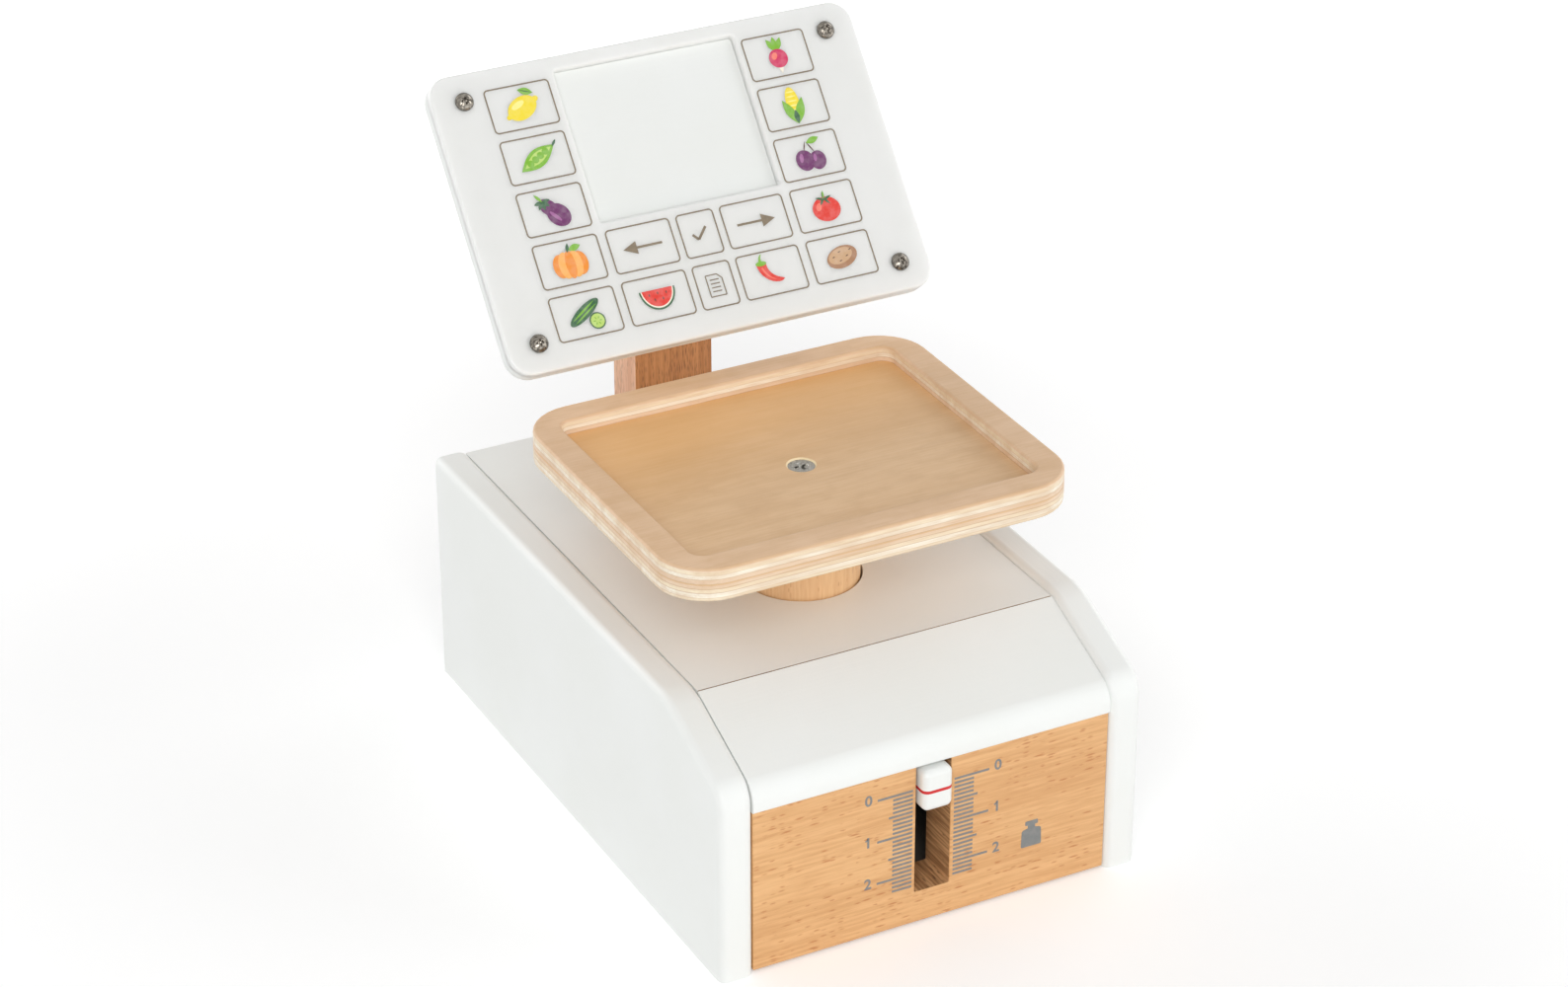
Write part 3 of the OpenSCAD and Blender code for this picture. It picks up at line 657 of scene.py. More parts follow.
def plastic_finish(name, bright, dull, roughness):
    finish, tree, shader, vector = new_finish(name)
    cloud = add_range(tree, add_noise(tree, vector, CLOUDS, detail=4), *HAZE_SPAN)
    tree.links.new(add_mix(tree, cloud, bright, dull), shader.inputs["Base Color"])
    haze = add_noise(tree, vector, HAZE, detail=2)
    rough = add_range(tree, haze, *HAZE_SPAN, roughness, roughness + HAZE_ROUGHNESS)
    tree.links.new(rough, shader.inputs["Roughness"])
    shader.inputs["Coat Weight"].default_value = GLOSS_COAT
    shader.inputs["Subsurface Weight"].default_value = MILKINESS
    shader.inputs["Subsurface Radius"].default_value = (1, 1, 1)
    shader.inputs["Subsurface Scale"].default_value = MILKY_DEPTH
    add_bump(tree, shader, haze, FINE_BUMP)
    return finish


sheet_plastic = plastic_finish("sheet_plastic", tone(239, 240, 237), tone(236, 237, 233), 0.28)
print("plastic finish made")

# %% Ink finish
INK_GRAIN = (500, 500, 500)
INK_SPAN = (0.3, 0.75)
INK_ROUGHNESS = (0.5, 0.6)
INK_BUMP = 0.000005


def ink_finish(name, full, thin):
    finish, tree, shader, vector = new_finish(name)
    cover = add_range(tree, add_noise(tree, vector, INK_GRAIN, detail=4), *INK_SPAN)
    tree.links.new(add_mix(tree, cover, full, thin), shader.inputs["Base Color"])
    tree.links.new(add_range(tree, cover, 0, 1, *INK_ROUGHNESS), shader.inputs["Roughness"])
    add_bump(tree, shader, cover, INK_BUMP)
    return finish


dial_ink = ink_finish("dial_ink", tone(122, 125, 125), tone(134, 135, 133))
key_ink = ink_finish("key_ink", tone(126, 112, 92), tone(140, 126, 106))
print("ink finishes made")

# %% [markdown]
# ## The side panels
# Two painted boards carry the whole scale. Seen from the side, the top runs level, bends into the
# slope and turns down over a round nose. A router rounded every edge except the two that stand on the
# table, so those stay crisp here too.

# %% Side panels
PANEL_ROUND = 0.0029
PANEL_CORNER_R = 0.003
SLOPE_RUN = 0.039
SLOPE_ANGLE = math.radians(22.5)
SLOPE_BEND_R = 0.025
NOSE_R = 0.010
ROUND_STEPS = 5


def square_to(axis):
    """A test for edges that run square to one axis of the drawing."""
    return lambda edge: abs(edge.verts[0].co[axis] - edge.verts[1].co[axis]) < TOUCH


def side_panel(node):
    low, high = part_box(node)
    nose_z = high.z - SLOPE_RUN * math.tan(SLOPE_ANGLE)
    bm = bmesh.new()
    add_outline(
        bm,
        [(high.y, 0), (high.y, high.z), (low.y + SLOPE_RUN, high.z), (low.y, nose_z), (low.y, 0)],
        [0, PANEL_CORNER_R, SLOPE_BEND_R, NOSE_R, 0],
    )
    thicken(bm, high.x - low.x)
    on_table = at_level(0, axis=1)
    round_the_face = square_to(axis=2)
    soften(bm, PANEL_ROUND, ROUND_STEPS, lambda edge: round_the_face(edge) and not on_table(edge))
    place(bm, Matrix.Translation((low.x, 0, 0)) @ SIDE_VIEW)
    keep_piece(node + "_painted", bm, [side_paint], "body", "white_paint", node)


side_panel("left_side_panel")
side_panel("right_side_panel")

# %% [markdown]
# ## Top, slope, front and back boards
# The boards between the panels have just their sharp corners broken with sandpaper. The seam between
# the top board and the slope board stands a little open. The top board's edge in it gets a dark brown
# wood colour as painted shade, so the seam shows as a fine dark line. Paint has nearly filled the seams at
# the slope's sides. The top board's hole comes from joining the outline to a circle. The slope board is a
# side view with the nose that hangs over the front, and the front board is a front view with the pointer's
# slot cut in from above.

# %% Top board
BROKEN_STEPS = 2
SEAM_EDGE = 0.0002
SEAM_OPEN = 0.00015
SEAM_FACING = -0.6
HOLE_STEPS = 64
PLUNGER_GAP = 0.00075

seam_shade_wood = beech_finish(
    "seam_shade_wood", tone(168, 144, 116), tone(136, 112, 86), tone(108, 84, 60), 0.05, ALONG_X, coat=0)
plunger_low, plunger_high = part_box("plunger")
plunger_axis = (plunger_low + plunger_high) / 2
hole_r = (plunger_high.x - plunger_low.x) / 2 + PLUNGER_GAP


def top_board():
    low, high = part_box("top_board")
    front_y = low.y + SEAM_OPEN
    bm = bmesh.new()
    add_outline(bm, [(low.x, front_y), (high.x, front_y), (high.x, high.y), (low.x, high.y)], [0] * 4)
    bmesh.ops.subdivide_edges(bm, edges=bm.edges[:], cuts=HOLE_STEPS // 4 - 1)
    bmesh.ops.create_circle(
        bm, cap_ends=False, segments=HOLE_STEPS, radius=hole_r,
        matrix=Matrix.Translation((plunger_axis.x, plunger_axis.y, 0)),
    )
    join_loops(bm)
    thicken(bm, high.z - low.z)
    soften(bm, SEAM_EDGE, BROKEN_STEPS)
    # The top board's face in the seam gets the dark seam finish: painted shade.
    for face in bm.faces:
        if face.normal.y < SEAM_FACING and face.calc_center_median().y < front_y + SEAM_EDGE:
            face.material_index = 1
    place(bm, Matrix.Translation((0, 0, low.z)))
    keep_piece("top_board_painted", bm, [board_paint, seam_shade_wood], "body", "white_paint", "top_board")


top_board()

# %% Slope board
BOARD_T = 0.012
BOARD_NOSE_R = 0.0085
LIP_R = 0.001
SLOPE_EDGE = 0.0001
SLOPE_FILL = 0.00012


def slope_board():
    low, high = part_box("slope_board")
    thickness = BOARD_T / math.cos(SLOPE_ANGLE)
    nose_z = high.z - (high.y - low.y) * math.tan(SLOPE_ANGLE)
    heel_y = low.y + (low.z - nose_z + thickness) / math.tan(SLOPE_ANGLE)
    bm = bmesh.new()
    add_outline(
        bm,
        [(high.y, high.z), (low.y, nose_z), (low.y, low.z), (heel_y, low.z),
         (high.y, high.z - thickness)],
        [0, BOARD_NOSE_R, LIP_R, 0, 0],
    )
    thicken(bm, high.x - low.x + 2 * SLOPE_FILL)
    soften(bm, SLOPE_EDGE, BROKEN_STEPS)
    place(bm, Matrix.Translation((low.x - SLOPE_FILL, 0, 0)) @ SIDE_VIEW)
    keep_piece("slope_board_painted", bm, [board_paint], "body", "white_paint", "slope_board")


slope_board()

# %% Front board
BROKEN_EDGE = 0.0004
SLOT_W = 0.013
SLOT_END_GAP = 0.0002
SLOT_FACING = 0.2

tray_joint = frame["joints"][0]
travel = tray_joint["range_m"][1]


def front_board():
    low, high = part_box("front_board")
    slot_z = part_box("pointer")[0].z - travel - SLOT_END_GAP
    half = SLOT_W / 2
    bm = bmesh.new()
    add_outline(
        bm,
        [(low.x, low.z), (high.x, low.z), (high.x, high.z), (half, high.z), (half, slot_z),
         (-half, slot_z), (-half, high.z), (low.x, high.z)],
        [0] * 8,
    )
    thicken(bm, high.y - low.y)
    soften(bm, BROKEN_EDGE, BROKEN_STEPS)
    # Faces inside the slot get the sawn finish: bare wood, darkened partly as painted shade.
    for face in bm.faces:
        middle = face.calc_center_median()
        in_slot = abs(middle.x) < half + BROKEN_EDGE and slot_z - BROKEN_EDGE < middle.y < high.z
        if in_slot and abs(face.normal.z) < SLOT_FACING:
            face.material_index = 1
    place(bm, Matrix.Translation((0, high.y, 0)) @ FRONT_VIEW)
    keep_piece("front_board_beech", bm, [front_beech, sawn_shaded_beech], "body", "beech", "front_board")


front_board()

# %% Back board
def block(node, width, segments):
    """A box in the size and place of a solid, with all its edges softened."""
    low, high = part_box(node)
    bm = bmesh.new()
    bmesh.ops.create_cube(bm, size=1)
    bmesh.ops.scale(bm, vec=high - low, verts=bm.verts[:])
    bmesh.ops.translate(bm, vec=(low + high) / 2, verts=bm.verts[:])
    soften(bm, width, segments)
    return bm


back_shape = block("back_board", BROKEN_EDGE, BROKEN_STEPS)
keep_piece("back_board_painted", back_shape, [board_paint], "body", "white_paint", "back_board")

# %% [markdown]
# ## The pointer
# The pointer is a small painted block with soft edges all round. Its red line is a band of heights in
# the finish, so it runs round the front and the sides without a piece of its own.

# %% Pointer
POINTER_ROUND = 0.0023
POINTER_STEPS = 5
LINE_HALF = 0.00058
LINE_BLUR = 0.00008
LINE_RED = tone(206, 40, 42)


def pointer_finish(line_z):
    finish = paint_finish("pointer_paint", WHITE_BRIGHT, WHITE_DULL, ALONG_X)
    tree, shader, white, vector = reopen(finish)
    away = add_math(tree, "ABSOLUTE", add_math(tree, "SUBTRACT", add_height(tree, vector), line_z), 0)
    line = add_range(tree, away, LINE_HALF + LINE_BLUR, LINE_HALF - LINE_BLUR)
    tree.links.new(add_mix(tree, line, white, LINE_RED), shader.inputs["Base Color"])
    return finish


pointer_low, pointer_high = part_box("pointer")
dial_zero = (pointer_low.z + pointer_high.z) / 2
pointer_shape = block("pointer", POINTER_ROUND, POINTER_STEPS)
pointer_paint = pointer_finish(dial_zero)
keep_piece("pointer_painted", pointer_shape, [pointer_paint], "weighing_unit", "white_paint", "pointer")

# %% [markdown]
# ## The tray
# The tray's base is a sheet with well rounded corners and a countersunk hole for its screw, which was
# cut after the lacquer and so shows a bare bright ring. The rim is a ring of the same outline, glued on
# top. Only the edges that a hand meets are rounded: the rim's two top edges and the base's bottom edge.

# %% Tray base
TRAY_CORNER_R = 0.018
TRAY_ROUND = 0.0011
TRAY_STEPS = 3
SCREW_GAP = 0.00005
CONE_FACING = (0.2, 0.98)

screw_low, screw_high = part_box("tray_screw")
screw_r = (screw_high.x - screw_low.x) / 2 + SCREW_GAP
screw_sink = base_high.z - screw_high.z
bare_wood = beech_finish(
    "bare_wood", tone(247, 228, 190), tone(238, 212, 166), tone(210, 170, 120), 0.05, ALONG_X, coat=0)
tray_w = base_high.x - base_low.x
tray_d = base_high.y - base_low.y
tray_middle = ((base_low.x + base_high.x) / 2, (base_low.y + base_high.y) / 2)


def near_screw(edge):
    return (edge.verts[0].co.xy - plunger_axis.xy).length < 2 * screw_r


def tray_base():
    bm = bmesh.new()
    add_outline(bm, rectangle(tray_w, tray_d, tray_middle), [TRAY_CORNER_R] * 4)
    bmesh.ops.create_circle(
        bm, cap_ends=False, segments=len(bm.verts), radius=screw_r,
        matrix=Matrix.Translation((plunger_axis.x, plunger_axis.y, 0)),
    )
    join_loops(bm)
    thicken(bm, base_high.z - base_low.z)
    at_top, at_bottom = at_level(base_high.z - base_low.z), at_level(0)
    soften(bm, screw_sink, 1, lambda edge: at_top(edge) and near_screw(edge))
    for face in bm.faces:
        near = (face.calc_center_median().xy - plunger_axis.xy).length < screw_r + screw_sink
        if near and CONE_FACING[0] < face.normal.z < CONE_FACING[1]:
            face.material_index = 1
    soften(bm, TRAY_ROUND, TRAY_STEPS, lambda edge: at_bottom(edge) and not near_screw(edge))
    place(bm, Matrix.Translation((0, 0, base_low.z)))
    keep_piece("tray_base_ply", bm, [base_ply, bare_wood], "weighing_unit", "plywood", "tray_base")


tray_base()

# %% Tray rim
RIM_W = 0.0105
RIM_INNER_R = 0.005


def tray_rim():
    bm = bmesh.new()
    add_outline(bm, rectangle(tray_w, tray_d, tray_middle), [TRAY_CORNER_R] * 4)
    add_outline(bm, rectangle(tray_w - 2 * RIM_W, tray_d - 2 * RIM_W, tray_middle), [RIM_INNER_R] * 4)
    join_loops(bm)
    thicken(bm, rim_high.z - rim_low.z)
    soften(bm, TRAY_ROUND, TRAY_STEPS, at_level(rim_high.z - rim_low.z))
    place(bm, Matrix.Translation((0, 0, rim_low.z)))
    keep_piece("tray_rim_ply", bm, [rim_ply], "weighing_unit", "plywood", "tray_frame")


tray_rim()

# %% [markdown]
# ## The post
# The post is one stick of beech whose top is cut to the display's lean, so a side view is the natural
# drawing. Its four long edges are broken a little more than those of the boards. Its front and back show
# the grain's dark dashes and a darker tone that is painted shade from the display above; its two sides
# are paler. Its front and back were
# sawn along the growth rings and show dark dashes; its two sides cross the rings and are paler.

# %% Post
DISPLAY_TILT = math.radians(40)
POST_EDGE = 0.0006
POST_FACING = 0.5


def neck_post():
    low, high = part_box("neck_post")
    cut_z = high.z - (high.y - low.y) / math.tan(DISPLAY_TILT)
    bm = bmesh.new()
    add_outline(bm, [(low.y, low.z), (high.y, low.z), (high.y, high.z), (low.y, cut_z)], [0] * 4)
    thicken(bm, high.x - low.x)
    upright, crosswise = square_to(axis=0), square_to(axis=1)
    soften(bm, POST_EDGE, BROKEN_STEPS, lambda edge: upright(edge) and not crosswise(edge))
    for face in bm.faces:
        if abs(face.normal.z) < POST_FACING:
            face.material_index = 1
    place(bm, Matrix.Translation((low.x, 0, 0)) @ SIDE_VIEW)
    keep_piece("neck_post_beech", bm, [post_beech, post_front_shaded_beech], "body", "beech", "neck_post")


neck_post()

# %% [markdown]
# ## The display
# The display is a white board with a plastic sheet of the same outline screwed onto it. The sheet has
# a window cut through, so the board behind shows as a shallow screen. Both are drawn lying down in the
# display's own plane, with its face at height zero, and then leaned back together.

# %% Plane of the display
SHEET_T = 0.003

sheet_low, sheet_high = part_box("display_sheet")
face_normal = Vector((0, -math.cos(DISPLAY_TILT), math.sin(DISPLAY_TILT)))
face_middle = (sheet_low + sheet_high) / 2 + face_normal * SHEET_T / 2
display_w = sheet_high.x - sheet_low.x
display_h = (sheet_high.z - sheet_low.z - SHEET_T * math.sin(DISPLAY_TILT)) / math.cos(DISPLAY_TILT)
lean_back = Matrix.Rotation(math.radians(90) - DISPLAY_TILT, 4, "X")
DISPLAY_VIEW = Matrix.Translation(face_middle) @ lean_back
print("display", round(display_w, 4), "by", round(display_h, 4))

# %% Display board
DISPLAY_BOARD_T = 0.004
DISPLAY_R = 0.008

screen_paint = paint_finish("screen_paint", tone(233, 235, 233), tone(231, 233, 230), ALONG_X)


def display_board():
    bm = bmesh.new()
    add_outline(bm, rectangle(display_w, display_h), [DISPLAY_R] * 4)
    thicken(bm, DISPLAY_BOARD_T)
    soften(bm, BROKEN_EDGE, BROKEN_STEPS, at_level(0))
    place(bm, DISPLAY_VIEW @ Matrix.Translation((0, 0, -SHEET_T - DISPLAY_BOARD_T)))
    keep_piece("display_board_painted", bm, [screen_paint], "body", "white_paint", "display_board")


display_board()

# %% Display sheet
WINDOW_W = 0.068
WINDOW_H = 0.0545
WINDOW_DROP = 0.0054
WINDOW_R = 0.0012
SHEET_EDGE = 0.0009
WINDOW_EDGE = 0.0012

window_middle = (0, display_h / 2 - WINDOW_DROP - WINDOW_H / 2)


def at_window(edge):
    x, y = edge.verts[0].co.xy
    across = abs(x) < WINDOW_W / 2 + WINDOW_EDGE
    return across and abs(y - window_middle[1]) < WINDOW_H / 2 + WINDOW_EDGE


def display_sheet():
    bm = bmesh.new()
    add_outline(bm, rectangle(display_w, display_h), [DISPLAY_R] * 4)
    add_outline(bm, rectangle(WINDOW_W, WINDOW_H, window_middle), [WINDOW_R] * 4)
    join_loops(bm)
    thicken(bm, SHEET_T)
    front = at_level(SHEET_T)
    soften(bm, WINDOW_EDGE, TRAY_STEPS, lambda edge: front(edge) and at_window(edge))
    soften(bm, SHEET_EDGE, TRAY_STEPS, lambda edge: front(edge) and not at_window(edge))
    place(bm, DISPLAY_VIEW @ Matrix.Translation((0, 0, -SHEET_T)))
    keep_piece(
        "display_sheet_plastic", bm, [sheet_plastic], "body", "display_plastic", "display_sheet")


display_sheet()

# %% [markdown]
# ## The spring
# The spring stands inside the plunger's bore and shortens when the tray goes down. A small ring of
# wire is spun round the axis while each step lifts it, which is what a coiling machine does. The
# last turn at each end is wound nearly flat, as on a real compression spring.

# %% Spring
SPRING_TURNS = 8
END_TURNS = 0.75
TURN_STEPS = 24
WIRE_SIDES = 8
WIRE_R = 0.0006


def wind(bm, ring, turns, rise):
    """Spins the ring of wire round the plunger's axis and returns the new last ring."""
    steps = round(turns * TURN_STEPS)
    made = bmesh.ops.spin(
        bm, geom=ring, cent=(0, plunger_axis.y, 0), axis=(0, 0, 1), dvec=(0, 0, rise / steps),
        angle=turns * math.tau, steps=steps, use_merge=False,
    )
    return made["geom_last"]


spring_low, spring_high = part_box("compression_spring")
coil_r = (spring_high.x - spring_low.x) / 2 - WIRE_R
spring_length = spring_high.z - spring_low.z
end_rise = 2 * WIRE_R * END_TURNS
spring_shape = bmesh.new()
bmesh.ops.create_circle(
    spring_shape, cap_ends=False, segments=WIRE_SIDES, radius=WIRE_R,
    matrix=Matrix.Translation((coil_r, plunger_axis.y, spring_low.z + WIRE_R)) @ FRONT_VIEW,
)
ring = spring_shape.verts[:] + spring_shape.edges[:]
ring = wind(spring_shape, ring, END_TURNS, end_rise)
ring = wind(spring_shape, ring, SPRING_TURNS, spring_length - 2 * WIRE_R - 2 * end_rise)
wind(spring_shape, ring, END_TURNS, end_rise)
bmesh.ops.holes_fill(spring_shape, edges=spring_shape.edges[:], sides=WIRE_SIDES)
bmesh.ops.recalc_face_normals(spring_shape, faces=spring_shape.faces[:])
spring_piece = keep_piece(
    "compression_spring_wound", spring_shape, [spring_wire], "body", "spring_steel", "compression_spring")
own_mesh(spring_piece)

# %% [markdown]
# ## The printed dial
# The dial is printed on the front board on both sides of the slot: a long line at each unit, a middle
# one at each half and short ones between. Ink is a film, so each line is a face laid on the wood and
# thickened by a few hundredths of a millimetre. Numbers are made as text, turned into a mesh and then
# treated the same way; the font's 1 is a plain bar, so it gets a flag. A bare weight shape marks the
# dial as a scale's.

# %% Printing helpers
INK_T = 0.00004
INK_SUNK = 0.00001
DIGIT_SHARE = 0.73
DIGIT_BOLD = 0.00012


def add_bar(bm, low, high):
    """A rectangle of ink between two corners of the drawing."""
    middle = ((low[0] + high[0]) / 2, (low[1] + high[1]) / 2)
    add_outline(bm, rectangle(high[0] - low[0], high[1] - low[1], middle), [0] * 4)


def add_stroke(bm, start, end, width):
    """A straight stroke of ink with square ends."""
    along = Vector(end) - Vector(start)
    side = Vector((-along.y, along.x)).normalized() * width / 2
    corners = [Vector(start) - side, Vector(end) - side, Vector(end) + side, Vector(start) + side]
    add_outline(bm, [tuple(corner) for corner in corners], [0] * 4)


def add_digit(bm, text, height, middle):
    """A number as flat faces, its middle at the given point."""
    letters = bpy.data.curves.new("digit", "FONT")
    letters.body = text
    letters.size = height / DIGIT_SHARE
    letters.offset = DIGIT_BOLD
    letters.align_x = "CENTER"
    letters.align_y = "CENTER"
    drawn = bpy.data.objects.new("digit", letters)
    bpy.context.scene.collection.objects.link(drawn)
    bpy.context.view_layer.update()
    finished = drawn.evaluated_get(bpy.context.evaluated_depsgraph_get())
    mesh = bpy.data.meshes.new_from_object(finished)
    mesh.transform(Matrix.Translation((middle[0], middle[1], 0)))
    bm.from_mesh(mesh)
    bpy.data.objects.remove(drawn)
    bpy.data.curves.remove(letters)
    bpy.data.meshes.remove(mesh)


# %% Dial lines and numbers
DIAL_UNITS = 2
DIVISIONS = 10
EXTRA_TICKS = 3
TICK_IN = 0.0077
TICK_LONG = 0.0207
TICK_HALF = 0.0165
TICK_SHORT = 0.0150
TICK_T = 0.00082
DIGIT_X = 0.0240
DIGIT_UP = 0.0006
DIGIT_H = 0.0040
FLAG_W = 0.0010
FLAG_H = 0.0008
FLAG_T = 0.0006

division = travel / DIAL_UNITS / DIVISIONS
dial_shape = bmesh.new()
for i in range(DIAL_UNITS * DIVISIONS + EXTRA_TICKS + 1):
    reach = TICK_SHORT
    if i % DIVISIONS == 0:
        reach = TICK_LONG
    elif i % (DIVISIONS // 2) == 0:
        reach = TICK_HALF
    z = dial_zero - i * division
    add_bar(dial_shape, (TICK_IN, z - TICK_T / 2), (reach, z + TICK_T / 2))
    add_bar(dial_shape, (-reach, z - TICK_T / 2), (-TICK_IN, z + TICK_T / 2))
for unit in range(DIAL_UNITS + 1):
    level = dial_zero - unit * DIVISIONS * division + DIGIT_UP
    for x in (-DIGIT_X, DIGIT_X):
        add_digit(dial_shape, str(unit), DIGIT_H, (x, level))
        if unit == 1:
            top = level + (DIGIT_H - FLAG_T) / 2
            add_stroke(dial_shape, (x - FLAG_W, top - FLAG_H), (x, top), FLAG_T)
print("one division of the dial:", round(division, 5), "m")

# %% Weight mark and the dial's film of ink
WEIGHT_MIDDLE = (0.0375, 0.0226)
WEIGHT_W = 0.0078
WEIGHT_H = 0.0100
WEIGHT_POINTS = [
    (-1.0, -1.0), (1.0, -1.0), (0.94, 0.34), (0.36, 0.44), (0.36, 0.66), (0.62, 0.66),
    (0.62, 1.0), (-0.62, 1.0), (-0.62, 0.66), (-0.36, 0.66), (-0.36, 0.44), (-0.94, 0.34),
]
WEIGHT_ROUNDS = [0.0006, 0.0006, 0.001, 0, 0, 0.0003, 0.0004, 0.0004, 0.0003, 0, 0, 0.001]

weight_x, weight_z = WEIGHT_MIDDLE
add_outline(
    dial_shape,
    [(weight_x + a * WEIGHT_W / 2, weight_z + b * WEIGHT_H / 2) for a, b in WEIGHT_POINTS],
    WEIGHT_ROUNDS,
)
thicken(dial_shape, INK_T + INK_SUNK)
face_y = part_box("front_board")[0].y
place(dial_shape, Matrix.Translation((0, face_y + INK_SUNK, 0)) @ FRONT_VIEW)
keep_piece("dial_print", dial_shape, [dial_ink], "body", "beech")

# %% [markdown]
# ## The printed keys
# Each key is a thin rounded frame. Two columns of five keys stand beside the window, and three more
# columns fill the lower two rows between them. A frame is the ring between two rounded outlines. The
# whole print sits half a millimetre to the left on the sheet, as prints often do.

# %% Key frames
KEY_W = 0.0241
KEY_H = 0.0159
KEY_NARROW_W = 0.0142
KEY_R = 0.0016
KEY_LINE = 0.0005
KEY_PITCH = 0.0186
KEY_TOP = 0.0456
OUTER_X = 0.0485
INNER_X = 0.0215
PRINT_SHIFT = -0.0005
ROWS = 5
INNER_ROWS = (3, 4)


def row_y(row):
    return KEY_TOP - KEY_H / 2 - row * KEY_PITCH


def merge(bm, part):
    """Moves the faces of one drawing into another."""
    mesh = bpy.data.meshes.new("part")
    part.to_mesh(mesh)
    part.free()
    bm.from_mesh(mesh)
    bpy.data.meshes.remove(mesh)


def add_frame(bm, width, height, middle):
    """A ring of ink, joined by itself so that frames don't mix."""
    part = bmesh.new()
    inner = rectangle(width - 2 * KEY_LINE, height - 2 * KEY_LINE, middle)
    add_outline(part, rectangle(width, height, middle), [KEY_R] * 4)
    add_outline(part, inner, [KEY_R - KEY_LINE] * 4)
    join_loops(part)
    merge(bm, part)


key_places = [(side * OUTER_X, row_y(row), KEY_W) for side in (-1, 1) for row in range(ROWS)]
key_places += [(side * INNER_X, row_y(row), KEY_W) for side in (-1, 1) for row in INNER_ROWS]
key_places += [(0, row_y(row), KEY_NARROW_W) for row in INNER_ROWS]
key_shape = bmesh.new()
for x, y, width in key_places:
    add_frame(key_shape, width, KEY_H, (x, y))
print(len(key_places), "keys")

# %% [markdown]
# The two arrow keys, the tick between them and the receipt key below it are printed in the same ink
# as the frames, so they join the same piece.

# %% Arrows and the tick
ARROW_L = 0.0145
ARROW_T = 0.0008
ARROW_HEAD_L = 0.0051
ARROW_HEAD_H = 0.0046
TICK_STROKE = 0.0009
TICK_SIGN = [(-0.0027, 0.0001), (-0.0009, -0.0019), (0.0028, 0.0022)]

sign_y, lower_y = [row_y(row) for row in INNER_ROWS]


def add_arrow(bm, middle, way):
    x, y = middle
    tip = x + way * ARROW_L / 2
    neck = tip - way * ARROW_HEAD_L
    tail = x - way * ARROW_L / 2
    add_bar(bm, (min(neck, tail), y - ARROW_T / 2), (max(neck, tail), y + ARROW_T / 2))
    head = [(tip, y), (neck, y + ARROW_HEAD_H / 2), (neck, y - ARROW_HEAD_H / 2)]
    add_outline(bm, head if way > 0 else head[::-1], [0] * 3)


for way in (-1, 1):
    add_arrow(key_shape, (way * INNER_X, sign_y), way)
tick_points = [(x, sign_y + y) for x, y in TICK_SIGN]
for start, end in zip(tick_points, tick_points[1:]):
    add_stroke(key_shape, start, end, TICK_STROKE)
print("arrows and tick drawn")

# %% Receipt and the keys' film of ink
PAGE_W = 0.0058
PAGE_H = 0.0076
PAGE_FOLD = 0.0016
PAGE_LINE = 0.0004
PAGE_ROWS = 4
TEXT_START = 0.2
TEXT_STEP = 0.18
TEXT_LEFT = 0.2
TEXT_RIGHT = 0.22

page_left, page_right = -PAGE_W / 2, PAGE_W / 2
page_low, page_top = lower_y - PAGE_H / 2, lower_y + PAGE_H / 2
page_points = [
    (page_left, page_low), (page_right, page_low), (page_right, page_top - PAGE_FOLD),
    (page_right - PAGE_FOLD, page_top), (page_left, page_top), (page_left, page_low),
]
for start, end in zip(page_points, page_points[1:]):
    add_stroke(key_shape, start, end, PAGE_LINE)
for i in range(PAGE_ROWS):
    level = page_low + PAGE_H * (TEXT_START + TEXT_STEP * i)
    text_end = (page_right - PAGE_W * TEXT_RIGHT, level + PAGE_LINE)
    add_bar(key_shape, (page_left + PAGE_W * TEXT_LEFT, level), text_end)
thicken(key_shape, INK_T + INK_SUNK)
place(key_shape, DISPLAY_VIEW @ Matrix.Translation((PRINT_SHIFT, 0, -INK_SUNK)))
keep_piece("key_print", key_shape, [key_ink], "body", "display_plastic")

# %% [markdown]
# ## Pictures on the keys
# The picture keys show fruit and vegetables, so that a child who can't read yet can ring up the
# shopping. Each picture is a handful of flat shapes in plain inks: discs, leaves, rosettes of leaves and
# tapered horns, drawn in shares of half the picture's height. Shapes of one picture lie on each other
# like layers of print, and each layer is a hair thicker than the one below, so none of them flicker.

# %% Inks of the pictures
THIN_INK = 0.1
INKS = {
    "yellow": tone(242, 219, 40),
    "pale_yellow": tone(250, 240, 140),
    "leaf_green": tone(122, 180, 44),
    "pale_green": tone(186, 214, 110),
    "dark_green": tone(42, 92, 54),
    "purple": tone(104, 36, 96),
    "pale_purple": tone(160, 96, 150),
    "orange": tone(238, 142, 40),
    "pale_orange": tone(248, 178, 92),
    "red": tone(222, 54, 40),
    "pale_red": tone(240, 120, 100),
    "pink": tone(206, 40, 92),
    "brown": tone(166, 120, 84),
    "pale_brown": tone(202, 164, 126),
    "dark_brown": tone(84, 56, 40),
    "cream": tone(246, 238, 220),
}


def thinned(colour):
    """The same ink where it lies a little thinner on white."""
    return tuple((1 - THIN_INK) * part + THIN_INK for part in colour[:3]) + (1.0,)


ink_names = list(INKS)
picture_inks = [ink_finish(name + "_ink", colour, thinned(colour)) for name, colour in INKS.items()]
print(len(INKS), "inks")

# %% Shapes of the pictures
PICTURE_HALF = 0.0063
DISC_STEPS = 32
HORN_STEPS = 10
FULL_TURN = 360
LAYERS = 12

picture_layers = [bmesh.new() for _ in range(LAYERS)]


def direction(turn):
    """The unit vector of an angle in degrees."""
    return math.cos(math.radians(turn)), math.sin(math.radians(turn))


def turn_points(points, x, y, turn):
    """Points turned round the origin and then moved."""
    c, s = direction(turn)
    return [(x + a * c - b * s, y + a * s + b * c) for a, b in points]


